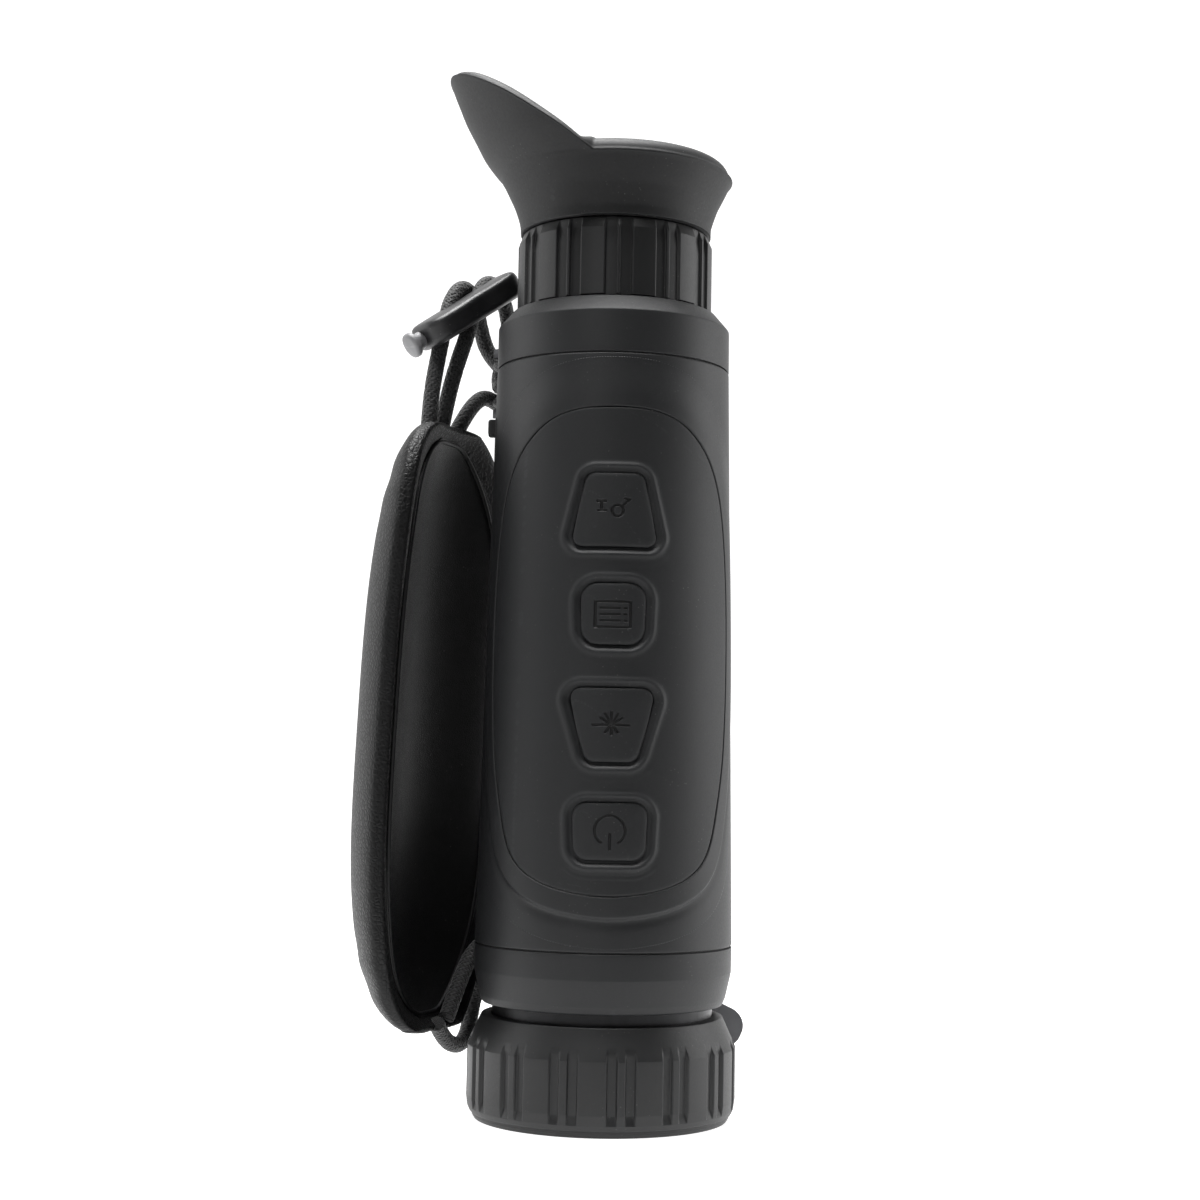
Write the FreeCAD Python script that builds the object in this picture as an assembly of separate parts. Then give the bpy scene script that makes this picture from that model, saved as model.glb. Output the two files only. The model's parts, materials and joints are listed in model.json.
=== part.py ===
import FreeCAD, Part
import math
import os

# Handheld rangefinder monocular with a hand strap.  Millimetres.
# Origin: centre of the focus ring's front face, on the optical axis.
# +Z runs from the objective to the eyepiece, -Y is the keypad side, -X the strap side.

V = FreeCAD.Vector
X_AXIS = V(1, 0, 0)
Y_AXIS = V(0, 1, 0)
Z_AXIS = V(0, 0, 1)
ORIGIN = V(0, 0, 0)

# ---- clearances ----
running = 0.06              # radial, shafts and rings that turn or slide
air = 0.3                   # between parts that must not touch
key_air = 0.35              # round each key

# ---- overall sizes ----
ring_radius = 28.6          # focus ring
ring_height = 21.8
ring_chamfer_height = 6.3
ring_chamfer_width = 3.0
neck_height = 2.4           # dark gap between focus ring and front cap
front_cap_height = 12.3
front_cap_taper = 1.25      # the cap narrows by this towards the neck
body_length = 123.2
body_front_radius = 27.5
body_rear_radius = 25.3
wall = 2.4
seal_height = 0.3
rear_cap_height = 12.6
rear_cap_bevel_width = 3.2
rear_cap_bevel_height = 3.4

# ---- heights along the axis ----
cap_bottom = ring_height + neck_height
cap_top = cap_bottom + front_cap_height
body_bottom = cap_top + seal_height
body_top = body_bottom + body_length
rear_bottom = body_top + seal_height
rear_top = rear_bottom + rear_cap_height

# ---- objective ----
barrel_radius = 23.5
barrel_wall = 2.3
bezel_bore_radius = 26.0    # open front of the focus ring, takes a cap or filter
bezel_bore_depth = 4.6
keeper_relief = 0.3         # undercut behind the bore where the keeper turns
keeper_height = 1.5
barrel_tail = 15.5          # barrel length behind the front cap's top
flange_height = 2.0
flange_width = 1.2
cell_front = 9.0
cell_length = 20.0
cell_lip = 4.5
objective_lens_thickness = 6.0
retainer_height = 2.0
focus_travel = 1.5          # each way
focus_turn = 60.0           # degrees each way
focus_pin_radius = 1.25
focus_pin_height = 18.5
focus_groove_depth = 2.0
pin_reach = 1.8             # how far a pin enters its cam groove

# ---- grip grooves ----
focus_pins_count = 3
diopter_pins_count = 2
pins_angle = 90.0           # where the first cam pin stands
focus_pairs = 15
focus_groove_width = 2.1
focus_ridge_width = 1.8
focus_cut_depth = 0.75
focus_groove_start = 3.0
focus_first_angle = 6.5
diopter_pairs = 12
diopter_groove_width = 2.5
diopter_ridge_width = 0.8
diopter_cut_depth = 0.6

# ---- eyepiece ----
eyebarrel_radius = 18.5
eyebarrel_wall = 2.0
diopter_radius = 21.3
diopter_height = 16.8
diopter_chamfer = 1.6
diopter_travel = 1.2
diopter_turn = 80.0
diopter_pin_radius = 1.0
diopter_groove_depth = 1.6
diopter_pin_reach = 1.4
ocular_length = 19.0
ocular_wall = 1.85
eye_flange_width = 1.5
eye_flange_height = 2.5
eyecup_seat_height = 3.7
eyecup_base_radius = 20.9
eyecup_rim_radius = 25.0
eyecup_rim_rise = 12.2      # rim's widest point above the eyecup's base
eyecup_lip_rise = 15.6      # top of the rolled rim above the base
eyecup_wall = 2.0
wing_tip_radius = 37.7
wing_tip_rise = 38.0        # wing tip above the eyecup's base
wing_notch_x = -6.0         # where the slanted edge meets the rim
wing_slope = 34.7           # degrees

# ---- keypad ----
pad_top_z = 148.6
pad_shoulder_z = 138.5
pad_waist_z = 95.0
pad_corner_z = 55.0
pad_bottom_z = 48.0
pad_shoulder_x = 20.0
pad_waist_x = 24.2
pad_corner_x = 20.0
saddle_margin = 4.5         # raised land round the keypad
saddle_rise = 0.55
membrane_thickness = 1.6
key_rise = 0.4
key_travel = 0.8
key_depth = 4.4             # key body behind the housing surface
key_offset_x = 0.0
key_corner = 2.6
stem_radius = 2.2
# name: centre height, top width, bottom width, height
keys = {
    "zoom_key": (127.0, 12.2, 17.3, 15.3),
    "menu_key": (105.5, 13.2, 12.8, 12.6),
    "laser_key": (82.8, 17.3, 11.4, 15.1),
    "power_key": (61.2, 15.1, 14.6, 11.6),
}

# ---- boards and chassis ----
board_thickness = 1.2
key_board_y = -19.0
key_board_width = 26.0
key_board_margin = 8.0      # beyond the outer keys' centres
switch_size = 5.0
switch_height = 0.7
main_board_y = -3.0         # its front face
main_board_width = 34.0
main_board_start = 7.0      # above the barrel's end
plate_thickness = 2.5
plate_edge_air = 0.5
window_radius = 9.0
rail_width = 2.5
rail_depth = 7.0
display_plate_drop = 9.5    # display plate's top below the body's top
image_board_radius = 13.0
spacer_radius = 2.0
spacer_x = 9.5
shield_size = (18.0, 3.0, 26.0)
sensor_size = (13.0, 10.5, 1.6)
display_size = (12.0, 9.6, 1.5)
battery_radius = 9.2
battery_length = 65.0
battery_start = 24.0        # above the barrel's end
cradle_wall = 1.0

# ---- laser unit ----
holder_thickness = 2.0
holder_drop = 12.0          # behind the front of the barrel's tail end
prism_size = 11.0
diode_radius = 3.2
diode_length = 7.0

# ---- port ----
cover_width = 8.0
cover_bottom_z = 140.2
cover_top_z = 149.4
cover_thickness = 1.5
cover_air = 0.3
tab_reach = 1.5
tab_height = 3.6
tab_width = 4.4
knuckle_radius = 0.9
socket_length = 7.5
socket_notch_half = 2.1

# ---- fixings ----
bush_radius = 5.0
bush_length = 6.5
bush_hole_radius = 2.6      # quarter-inch tripod thread, minor size
bush_hole_depth = 5.2
bush_boss_wall = 1.5
bush_z = 106.0
screw_radius = 1.0

# ---- strap ----
lug_angle = 135.0           # degrees round the axis from +X
lug_line_radius = 32.5      # vertical line that the strap swings about
lug_bar_radius = 1.3
lug_gap = 12.0
lug_ear = 2.0
lug_width = 6.0
lower_lug_z = 32.0
upper_lug_z = 161.5
cushion_thickness = 7.5
cushion_bottom_z = 16.8
cushion_top_z = 148.6
cushion_half_width = 25.0
cushion_end_half_width = 7.0
cushion_distance = 52.5     # outer face from the axis, half way up
cushion_end_distance = 37.0
cushion_curl = 13.0         # how far the edges curl in towards the hand
cushion_side = -9.0         # centre line's offset along the cushion's width
cushion_facing = 154.5      # direction the cushion's back faces, degrees from +X
cushion_lean = 0.045        # the lower end stands out further
cord_radius = 1.7
string_radius = 0.45
lock_length = 27.0
lock_width = 14.0
lock_thickness = 6.2
lock_hole_air = 0.35
lock_low_end = V(-42.6, 7.0, 168.2)
lock_high_end = V(-22.6, 17.6, 184.0)
plunger_radius = 2.0
plunger_head_radius = 2.9
plunger_head_length = 1.8
plunger_stroke = 1.5
plunger_depth = 1.2

# ---- lens cap hanging behind ----
lens_cap_radius = 26.7
lens_cap_plate = 2.4
lens_cap_plug_depth = 4.0
lens_cap_plug_air = 0.25
lens_cap_plug_wall = 2.2
lens_cap_face_y = 30.4
lens_cap_bottom_z = 1.6
lens_cap_x = 1.5            # hangs a little to the right
lens_cap_tab_angle = -25.0
lens_cap_tab_reach = 34.6
lens_cap_tab_width = 9.0
cap_pin_radius = 1.2
cap_eye_radius = 2.6
cap_eye_width = 6.0


# ---- helpers ----
def shell_radius(height):
    """Outer radius of the tapered housing at a height."""
    share = (height - body_bottom) / body_length
    return body_front_radius + share * (body_rear_radius - body_front_radius)


def polar(radius, degrees, height=0.0):
    angle = math.radians(degrees)
    return V(radius * math.cos(angle), radius * math.sin(angle), height)


def cylinder(radius, base, direction, length):
    return Part.makeCylinder(radius, length, base, direction)


def upright(radius, bottom, top):
    return Part.makeCylinder(radius, top - bottom, V(0, 0, bottom))


def tube(outer, inner, bottom, top):
    return upright(outer, bottom, top).cut(upright(inner, bottom - 1, top + 1))


def block(x_range, y_range, z_range):
    size = [high - low for low, high in (x_range, y_range, z_range)]
    return Part.makeBox(size[0], size[1], size[2], V(x_range[0], y_range[0], z_range[0]))


def lathe(profile):
    """Closed (radius, height) outline turned once round the optical axis."""
    points = [V(radius, 0, height) for radius, height in profile]
    outline = Part.makePolygon(points + points[:1])
    return Part.Face(outline).revolve(ORIGIN, Z_AXIS, 360)


def housing_cone(offset, bottom, top):
    """Solid cone parallel to the housing's outside."""
    low = shell_radius(bottom) + offset
    high = shell_radius(top) + offset
    return Part.makeCone(low, high, top - bottom, V(0, 0, bottom))


def turned(shape, degrees):
    copy = shape.copy()
    copy.rotate(ORIGIN, Z_AXIS, degrees)
    return copy


def ring_of(shape, count, first=0.0):
    return [turned(shape, first + index * 360.0 / count) for index in range(count)]


def save(name, shape):
    if isinstance(shape, (list, tuple)):
        shape = Part.makeCompound(list(shape))
    solids = shape.Solids
    if not solids or not shape.isValid():
        raise ValueError(name + " is not a valid solid")
    result = solids[0] if len(solids) == 1 else Part.makeCompound(solids)
    result.exportStep(os.path.join("parts", name + ".step"))
    print(f"{name:24s} {len(solids)} solid(s) {result.Volume:10.1f} mm3")


# ---- housing ----
def saddle_outline(grow):
    """Keypad outline in the XZ plane: four arcs, grown evenly by a margin."""
    middle_x = pad_waist_x + grow
    shoulder_x = pad_shoulder_x + 0.8 * grow
    corner_x = pad_corner_x + 0.8 * grow
    shoulder_z = pad_shoulder_z + 0.6 * grow
    corner_z = pad_corner_z - 0.5 * grow
    top = V(0, 0, pad_top_z + grow)
    bottom = V(0, 0, pad_bottom_z - grow)
    upper_left = V(-shoulder_x, 0, shoulder_z)
    upper_right = V(shoulder_x, 0, shoulder_z)
    lower_left = V(-corner_x, 0, corner_z)
    lower_right = V(corner_x, 0, corner_z)
    arcs = [
        Part.Arc(upper_left, top, upper_right),
        Part.Arc(upper_right, V(middle_x, 0, pad_waist_z), lower_right),
        Part.Arc(lower_right, bottom, lower_left),
        Part.Arc(lower_left, V(-middle_x, 0, pad_waist_z), upper_left),
    ]
    return Part.Wire([arc.toShape() for arc in arcs])


def saddle_prism(grow):
    reach = 2 * body_front_radius
    return Part.Face(saddle_outline(grow)).extrude(V(0, -reach, 0))


def key_prism(name, grow):
    """Rounded four-sided prism along Y, over a key's outline."""
    centre_z, top_width, bottom_width, height = keys[name]
    half = height / 2 + grow
    corners = [
        V(key_offset_x - bottom_width / 2 - grow, 0, centre_z - half),
        V(key_offset_x + bottom_width / 2 + grow, 0, centre_z - half),
        V(key_offset_x + top_width / 2 + grow, 0, centre_z + half),
        V(key_offset_x - top_width / 2 - grow, 0, centre_z + half),
    ]
    face = Part.Face(Part.makePolygon(corners + corners[:1]))
    prism = face.extrude(V(0, -2 * body_front_radius, 0))
    uprights = [edge for edge in prism.Edges if abs(edge.tangentAt(edge.FirstParameter).y) > 0.99]
    return prism.makeFillet(key_corner + grow, uprights)


def body_inner(bottom, top):
    return housing_cone(-wall, bottom, top)


def bush_seat():
    """Tripod bush axis point on the housing's back."""
    return V(0, shell_radius(bush_z), bush_z)


def cover_window():
    radius = shell_radius(cover_top_z)
    depth = wall + 1.0
    width = cover_width / 2 + cover_air
    return block((-radius - 3, -radius + depth), (-width, width),
                 (cover_bottom_z - 2 * knuckle_radius - cover_air, cover_top_z + cover_air))


def body_shell():
    outside = housing_cone(0, body_bottom, body_top)
    raised = housing_cone(saddle_rise, body_bottom + 1, body_top - 1)
    shell = outside.fuse(raised.common(saddle_prism(saddle_margin)))
    boss_base = bush_seat() - Y_AXIS * (bush_length + bush_boss_wall)
    inner = body_inner(body_bottom, body_top)
    boss = cylinder(bush_radius + bush_boss_wall, boss_base, Y_AXIS, bush_length + bush_boss_wall - 1)
    hollow = inner.cut(boss)
    shell = shell.cut(hollow)
    floor = housing_cone(saddle_rise - membrane_thickness, body_bottom + 1, body_top - 1)
    pocket = saddle_prism(0).cut(floor)
    bush_hole = cylinder(bush_radius, bush_seat() - Y_AXIS * bush_length, Y_AXIS, bush_length + 2)
    cuts = [pocket, cover_window(), bush_hole]
    cuts += [key_prism(name, key_air + 0.2) for name in keys]
    cuts += lug_screw_tools(upper_lug_z) + lug_screw_tools(lower_lug_z)
    cuts.append(cover_pin())
    return shell.cut(cuts)


def front_cap():
    edge = 1.0
    low = body_front_radius - front_cap_taper
    spigot = shell_radius(body_bottom) - wall - 0.1
    flange = barrel_radius + flange_width
    cap = lathe([
        (barrel_radius, cap_bottom),
        (low - edge, cap_bottom),
        (low, cap_bottom + edge),
        (body_front_radius, cap_bottom + front_cap_height * 0.55),
        (body_front_radius, cap_top),
        (spigot, cap_top),
        (spigot, cap_top + seal_height + flange_height + 1),
        (flange, cap_top + seal_height + flange_height + 1),
        (flange, cap_top),
        (barrel_radius, cap_top),
    ])
    return cap.cut(flange_screw_tools() + lug_screw_tools(lower_lug_z))


def rear_cap():
    inner = body_rear_radius - wall
    roof = rear_top - 3.0
    cap = lathe([
        (body_rear_radius, rear_bottom),
        (body_rear_radius, rear_top - rear_cap_bevel_height),
        (body_rear_radius - rear_cap_bevel_width, rear_top),
        (eyebarrel_radius, rear_top),
        (eyebarrel_radius, roof),
        (inner, roof - 1.5),
        (inner, rear_bottom),
    ])
    return cap.cut(lug_screw_tools(upper_lug_z))


def seal(bottom):
    """Flat gasket squeezed in a joint of the housing."""
    outer = shell_radius(bottom) - 0.5
    return tube(outer, outer - wall + 0.9, bottom, bottom + seal_height)


def keypad_membrane():
    skin = housing_cone(saddle_rise, body_bottom + 1, body_top - 1)
    floor = housing_cone(saddle_rise - membrane_thickness, body_bottom + 1, body_top - 1)
    sheet = skin.common(saddle_prism(-0.15)).cut(floor)
    return sheet.cut([key_prism(name, key_air) for name in keys])


def key(name):
    centre_z = keys[name][0]
    radius = shell_radius(centre_z)
    back_y = -(radius - key_depth)
    body = key_prism(name, 0).common(housing_cone(saddle_rise + key_rise, body_bottom + 1, body_top - 1))
    reach = 3 * body_front_radius
    body = body.cut(block((-reach, reach), (back_y, reach), (0, body_top + 10)))
    tip_y = key_board_y - switch_height - key_travel - 0.1
    stem = cylinder(stem_radius, V(key_offset_x, tip_y, centre_z), -Y_AXIS, tip_y - back_y + 1)
    return body.fuse(stem).removeSplitter()


# ---- fixings ----
def flange_screw_places():
    radius = barrel_radius + flange_width / 2
    return [polar(radius, 60 + 120 * index, 0) for index in range(3)]


def flange_screw_tools():
    depth = 6.0
    return [cylinder(screw_radius * 0.5, place + V(0, 0, cap_top - depth), Z_AXIS, depth + flange_height)
            for place in flange_screw_places()]


def flange_screws():
    screws = []
    for place in flange_screw_places():
        shank = cylinder(screw_radius * 0.5, place + V(0, 0, cap_top - 5), Z_AXIS, 5 + flange_height)
        head = cylinder(screw_radius * 0.55, place + V(0, 0, cap_top + flange_height), Z_AXIS, 0.5)
        screws.append(shank.fuse(head).removeSplitter())
    return screws


def lug_screw_tools(middle):
    """Blind holes for a lug's two screws, along the lug's own radius."""
    tools = []
    for side in (-1, 1):
        start = polar(seat_radius(middle) - 2.0, lug_angle, middle + side * (lug_gap / 2 + lug_ear / 2))
        tools.append(cylinder(screw_radius * 0.8, start, polar(1, lug_angle), 2 * wall))
    return tools


def seat_radius(middle):
    """Radius of the housing under a lug's foot."""
    return body_front_radius if middle < body_bottom else shell_radius(middle - lug_gap / 2 - lug_ear)


def strap_lug(middle):
    """Two ears on a curved foot with an upright bar between them."""
    outer = lug_line_radius + lug_bar_radius + 1.0
    foot_thickness = 1.6
    height = lug_gap + 2 * lug_ear
    seat = seat_radius(middle) + 0.02
    low = middle - height / 2
    high = middle + height / 2
    arm = block((seat - 2, outer), (-lug_width / 2, lug_width / 2), (low, high))
    gap = block((seat + foot_thickness, outer + 1), (-lug_width, lug_width),
                (middle - lug_gap / 2, middle + lug_gap / 2))
    bar = upright(lug_bar_radius, low + 1, high - 1)
    bar.translate(V(lug_line_radius, 0, 0))
    lug = arm.cut([gap, upright(seat, low - 1, high + 1)]).fuse(bar)
    return turned(lug.removeSplitter(), lug_angle)


def lug_screws():
    """Flush screws through the feet, one at each ear."""
    screws = []
    for middle in (lower_lug_z, upper_lug_z):
        for side in (-1, 1):
            height = middle + side * (lug_gap / 2 + lug_ear / 2)
            start = polar(seat_radius(middle) - 2.0, lug_angle, height)
            screws.append(cylinder(screw_radius * 0.8, start, polar(1, lug_angle), 2.0))
    return screws


def tripod_bush():
    top = bush_seat()
    bush = cylinder(bush_radius, top - Y_AXIS * bush_length, Y_AXIS, bush_length)
    return bush.cut(cylinder(bush_hole_radius, top - Y_AXIS * bush_hole_depth, Y_AXIS, bush_hole_depth + 1))


# ---- objective ----
barrel_bottom = bezel_bore_depth + 0.2 + keeper_height
barrel_top = cap_top + barrel_tail
barrel_bore = barrel_radius - barrel_wall


def pin_slots(inner, outer, pin, travel, height, count, first):
    """Upright slots through a barrel wall for its cam pins."""
    width = pin + running
    slots = []
    for index in range(count):
        direction = polar(1, first + 360.0 / count * index)
        ends = [cylinder(width, direction * inner + V(0, 0, height + side * travel), direction, outer - inner)
                for side in (-1, 1)]
        web = block((inner, outer), (-width, width), (height - travel, height + travel))
        slots.append(ends[0].fuse([ends[1], turned(web, first + 360.0 / count * index)]))
    return slots


def cam_grooves(radius, depth, pin, travel, turn, height, count, first):
    """Helical grooves in a ring's bore that carry the cam pins."""
    overrun = math.degrees((pin + 2 * running) / radius)
    span = 2 * (turn + overrun)
    rise = 2 * travel * span / (2 * turn)
    pitch = rise * 360.0 / span
    half = pin + 3 * running
    helix = Part.makeHelix(pitch, rise, radius)
    low = radius - 1.0
    high = radius + depth
    profile = Part.makePolygon([V(low, 0, -half), V(high, 0, -half), V(high, 0, half), V(low, 0, half),
                                V(low, 0, -half)])
    groove = Part.Wire(helix).makePipeShell([profile], True, True)
    groove = Part.Solid(groove) if groove.ShapeType != "Solid" else groove
    grooves = []
    for index in range(count):
        copy = turned(groove, first + 360.0 / count * index - span / 2)
        copy.translate(V(0, 0, height - rise / 2))
        grooves.append(copy)
    return grooves


def cam_pins(inner, outer, pin, height, count, first):
    return [cylinder(pin, polar(inner, first + 360.0 / count * index, height),
                     polar(1, first + 360.0 / count * index), outer - inner) for index in range(count)]


def objective_barrel():
    barrel = tube(barrel_radius, barrel_bore, barrel_bottom, barrel_top)
    flange = tube(barrel_radius + flange_width, barrel_radius - 1, cap_top, cap_top + flange_height)
    slots = pin_slots(barrel_bore - 2, barrel_radius + 2, focus_pin_radius, focus_travel, focus_pin_height,
                      focus_pins_count, pins_angle)
    return barrel.fuse(flange).cut(slots + flange_screw_tools()).removeSplitter()


def ring_keeper():
    return tube(bezel_bore_radius - 0.3, barrel_bore + 0.2, bezel_bore_depth + 0.2, barrel_bottom)


def grip_cuts(radius, depth, width, ridge, bottom, top, pairs, first):
    """Pairs of shallow upright grooves round a ring."""
    cuts = []
    for side in (-1, 1):
        middle = side * (width + ridge) / 2
        floor = radius - depth
        cut = block((floor, radius + 2), (middle - width / 2, middle + width / 2), (bottom, top))
        cuts += ring_of(cut, pairs, first - 90)
    return cuts


def focus_ring():
    step = bezel_bore_depth + 0.2 + keeper_height + 0.2
    bore = barrel_radius + running
    chamfer_z = ring_height - ring_chamfer_height
    ring = lathe([
        (bezel_bore_radius, 0),
        (ring_radius - 1.7, 0),
        (ring_radius - 1.2, 0.9),
        (ring_radius - 0.5, 2.2),
        (ring_radius, 4.5),
        (ring_radius, chamfer_z),
        (ring_radius - ring_chamfer_width, ring_height),
        (bore, ring_height),
        (bore, step),
        (bezel_bore_radius + keeper_relief, step),
        (bezel_bore_radius + keeper_relief, bezel_bore_depth),
        (bezel_bore_radius, bezel_bore_depth),
    ])
    cuts = grip_cuts(ring_radius, focus_cut_depth, focus_groove_width, focus_ridge_width, focus_groove_start,
                     ring_height + 1, focus_pairs, focus_first_angle)
    grooves = cam_grooves(bore, focus_groove_depth, focus_pin_radius, focus_travel, focus_turn,
                          focus_pin_height, focus_pins_count, pins_angle)
    return ring.cut(cuts).cut(grooves)


cell_radius = barrel_bore - running
lens_seat_radius = cell_radius - 1.8
rear_seat_radius = lens_seat_radius - cell_lip


def focus_cell():
    lens_end = cell_front + retainer_height + objective_lens_thickness
    cell_end = cell_front + cell_length
    cell = lathe([
        (lens_seat_radius, cell_front),
        (cell_radius, cell_front),
        (cell_radius, cell_end),
        (rear_seat_radius, cell_end),
        (rear_seat_radius, cell_end - 5),
        (rear_seat_radius - 1, cell_end - 5),
        (rear_seat_radius - 1, lens_end),
        (lens_seat_radius, lens_end),
    ])
    depth = cell_radius - 3
    holes = cam_pins(depth, cell_radius + 1, focus_pin_radius, focus_pin_height, focus_pins_count, pins_angle)
    return cell.cut(holes)


def focus_pins():
    return cam_pins(cell_radius - 3, barrel_radius + pin_reach, focus_pin_radius, focus_pin_height,
                    focus_pins_count, pins_angle)


def round_lens(radius, bottom, thickness, crown):
    """Lens with a flat back and a domed front, facing down the axis."""
    dome = (radius * radius + crown * crown) / (2 * crown)
    blank = upright(radius, bottom, bottom + thickness)
    ball = Part.makeSphere(dome, V(0, 0, bottom + dome))
    return blank.common(ball)


def objective_lens():
    return round_lens(lens_seat_radius, cell_front + retainer_height, objective_lens_thickness, 2.6)


def lens_retainer():
    return tube(lens_seat_radius, lens_seat_radius - 1.6, cell_front, cell_front + retainer_height + 1.4).cut(
        round_lens(lens_seat_radius, cell_front + retainer_height, objective_lens_thickness, 2.6))


def rear_objective_lens():
    return round_lens(rear_seat_radius, cell_front + cell_length - 5, 4.2, 1.4)


# ---- laser unit, between the rear objective lens and the image sensor ----
holder_z = barrel_top - holder_drop


def prism_holder():
    disc = tube(barrel_bore, 6.0, holder_z, holder_z + holder_thickness)
    posts = []
    for side in (-1, 1):
        x = side * (prism_size / 2 + 1.5 + diode_length / 2)
        post = block((x - 1.5, x + 1.5), (-diode_radius - 1, diode_radius + 1),
                     (holder_z + holder_thickness, holder_z + holder_thickness + prism_size / 2))
        posts.append(post)
    saddle = cylinder(diode_radius, V(-barrel_bore, 0, holder_z + holder_thickness + prism_size / 2), X_AXIS,
                      2 * barrel_bore)
    return disc.fuse([post.cut(saddle) for post in posts]).removeSplitter()


def splitter_prism():
    half = prism_size / 2
    bottom = holder_z + holder_thickness
    return block((-half, half), (-half, half), (bottom, bottom + prism_size - 1.5))


def diode(side):
    start = side * (prism_size / 2 + 1.5)
    centre = V(start, 0, holder_z + holder_thickness + prism_size / 2)
    can = cylinder(diode_radius, centre, X_AXIS * side, diode_length)
    snout = cylinder(diode_radius * 0.6, centre - X_AXIS * side * 1.4, X_AXIS * side, 1.6)
    return can.fuse(snout).removeSplitter()


# ---- chassis and electronics ----
display_top = body_top - display_plate_drop
display_bottom = display_top - plate_thickness
sensor_plate_top = barrel_top + plate_thickness
main_start = barrel_top + main_board_start
main_end = display_bottom - 2.5
board_back = main_board_y + board_thickness
rail_x = main_board_width / 2


def chassis():
    low = upright(shell_radius(sensor_plate_top) - wall - plate_edge_air, barrel_top, sensor_plate_top)
    high = upright(shell_radius(display_top) - wall - plate_edge_air, display_bottom, display_top)
    rails = [block((side * rail_x - rail_width / 2, side * rail_x + rail_width / 2),
                   (board_back, board_back + rail_depth), (barrel_top + 1, display_top - 1))
             for side in (-1, 1)]
    frame = low.fuse([high] + rails)
    notch = block((-key_board_width / 2 - 1, key_board_width / 2 + 1), (-2 * body_front_radius, main_board_y - 10),
                  (barrel_top - 1, display_top + 1))
    low_z = cover_bottom_z - 4
    frame_notch = block((-2 * rail_x, frame_back() + air), (-cover_width / 2 - 3, cover_width / 2 + 3),
                        (low_z, display_top + 1))
    socket_notch = block((-2 * rail_x, socket_back() + socket_length + air),
                         (-socket_notch_half, socket_notch_half), (low_z, display_top + 1))
    light_path = upright(window_radius, barrel_top - 1, display_top + 1)
    frame = frame.cut([light_path, notch, frame_notch, socket_notch] + board_screw_tools())
    return frame.removeSplitter()


def board_screw_places():
    heights = (main_start + 5, main_end - 9)
    return [V(side * (rail_x - 0.2), 0, height) for side in (-1, 1) for height in heights]


def board_screw_tools():
    return [cylinder(0.6, place + Y_AXIS * main_board_y, Y_AXIS, board_thickness + 3)
            for place in board_screw_places()]


def board_screws():
    screws = []
    for place in board_screw_places():
        head = cylinder(1.1, place + Y_AXIS * (main_board_y - 0.8), Y_AXIS, 0.8)
        shank = cylinder(0.6, place + Y_AXIS * main_board_y, Y_AXIS, board_thickness + 2.5)
        screws.append(head.fuse(shank).removeSplitter())
    return screws


def main_board():
    half = main_board_width / 2 + rail_width / 2 - 0.4
    board = block((-half, half), (main_board_y, board_back), (main_start, main_end))
    return board.cut(board_screw_tools())


def processor_shield():
    width, depth, height = shield_size
    middle = (main_start + main_end) / 2
    return block((-width / 2, width / 2), (main_board_y - depth, main_board_y),
                 (middle - height / 2, middle + height / 2))


def key_board_range():
    centres = [values[0] for values in keys.values()]
    return min(centres) - key_board_margin, max(centres) + key_board_margin


def key_board():
    low, high = key_board_range()
    half = key_board_width / 2
    return block((-half, half), (key_board_y, key_board_y + board_thickness), (low, high))


def key_switches():
    half = switch_size / 2
    switches = []
    for values in keys.values():
        switches.append(block((key_offset_x - half, key_offset_x + half), (key_board_y - switch_height, key_board_y),
                              (values[0] - half, values[0] + half)))
    return switches


def board_spacers():
    back = key_board_y + board_thickness
    high = key_board_range()[1]
    heights = (main_start + 6, high - 4)
    return [cylinder(spacer_radius, V(side * spacer_x, back, height), Y_AXIS, main_board_y - back)
            for side in (-1, 1) for height in heights]


def sensor_board():
    return upright(image_board_radius, sensor_plate_top, sensor_plate_top + board_thickness)


def image_sensor():
    width, depth, height = sensor_size
    return block((-width / 2, width / 2), (-depth / 2, depth / 2),
                 (sensor_plate_top - height, sensor_plate_top))


def display_board():
    return upright(image_board_radius, display_bottom - board_thickness, display_bottom)


def micro_display():
    width, depth, height = display_size
    return block((-width / 2, width / 2), (-depth / 2, depth / 2),
                 (display_bottom, display_bottom + height))


battery_y = board_back + cradle_wall + battery_radius


def battery_cell():
    bottom = barrel_top + battery_start
    cell = cylinder(battery_radius, V(0, battery_y, bottom), Z_AXIS, battery_length - 1.5)
    cap = cylinder(3.0, V(0, battery_y, bottom + battery_length - 1.5), Z_AXIS, 1.5)
    return cell.fuse(cap).removeSplitter()


def battery_cradle():
    bottom = barrel_top + battery_start
    top = bottom + battery_length - 3
    outer = cylinder(battery_radius + cradle_wall, V(0, battery_y, bottom), Z_AXIS, top - bottom)
    outer = outer.fuse(block((-7, 7), (board_back, battery_y), (bottom, top)))
    open_side = block((-20, 20), (battery_y + 3, battery_y + 20), (bottom - 1, top + 1))
    bore = cylinder(battery_radius, V(0, battery_y, bottom - 1), Z_AXIS, top - bottom + 2)
    return outer.cut([bore, open_side])


# ---- port ----
cover_face_x = -(shell_radius(cover_top_z) + 0.1)
knuckle_x = cover_face_x + knuckle_radius + 0.1
knuckle_z = cover_bottom_z - knuckle_radius


def socket_back():
    return cover_face_x + wall + 1.8


def frame_back():
    return socket_back() + 0.8


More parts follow.
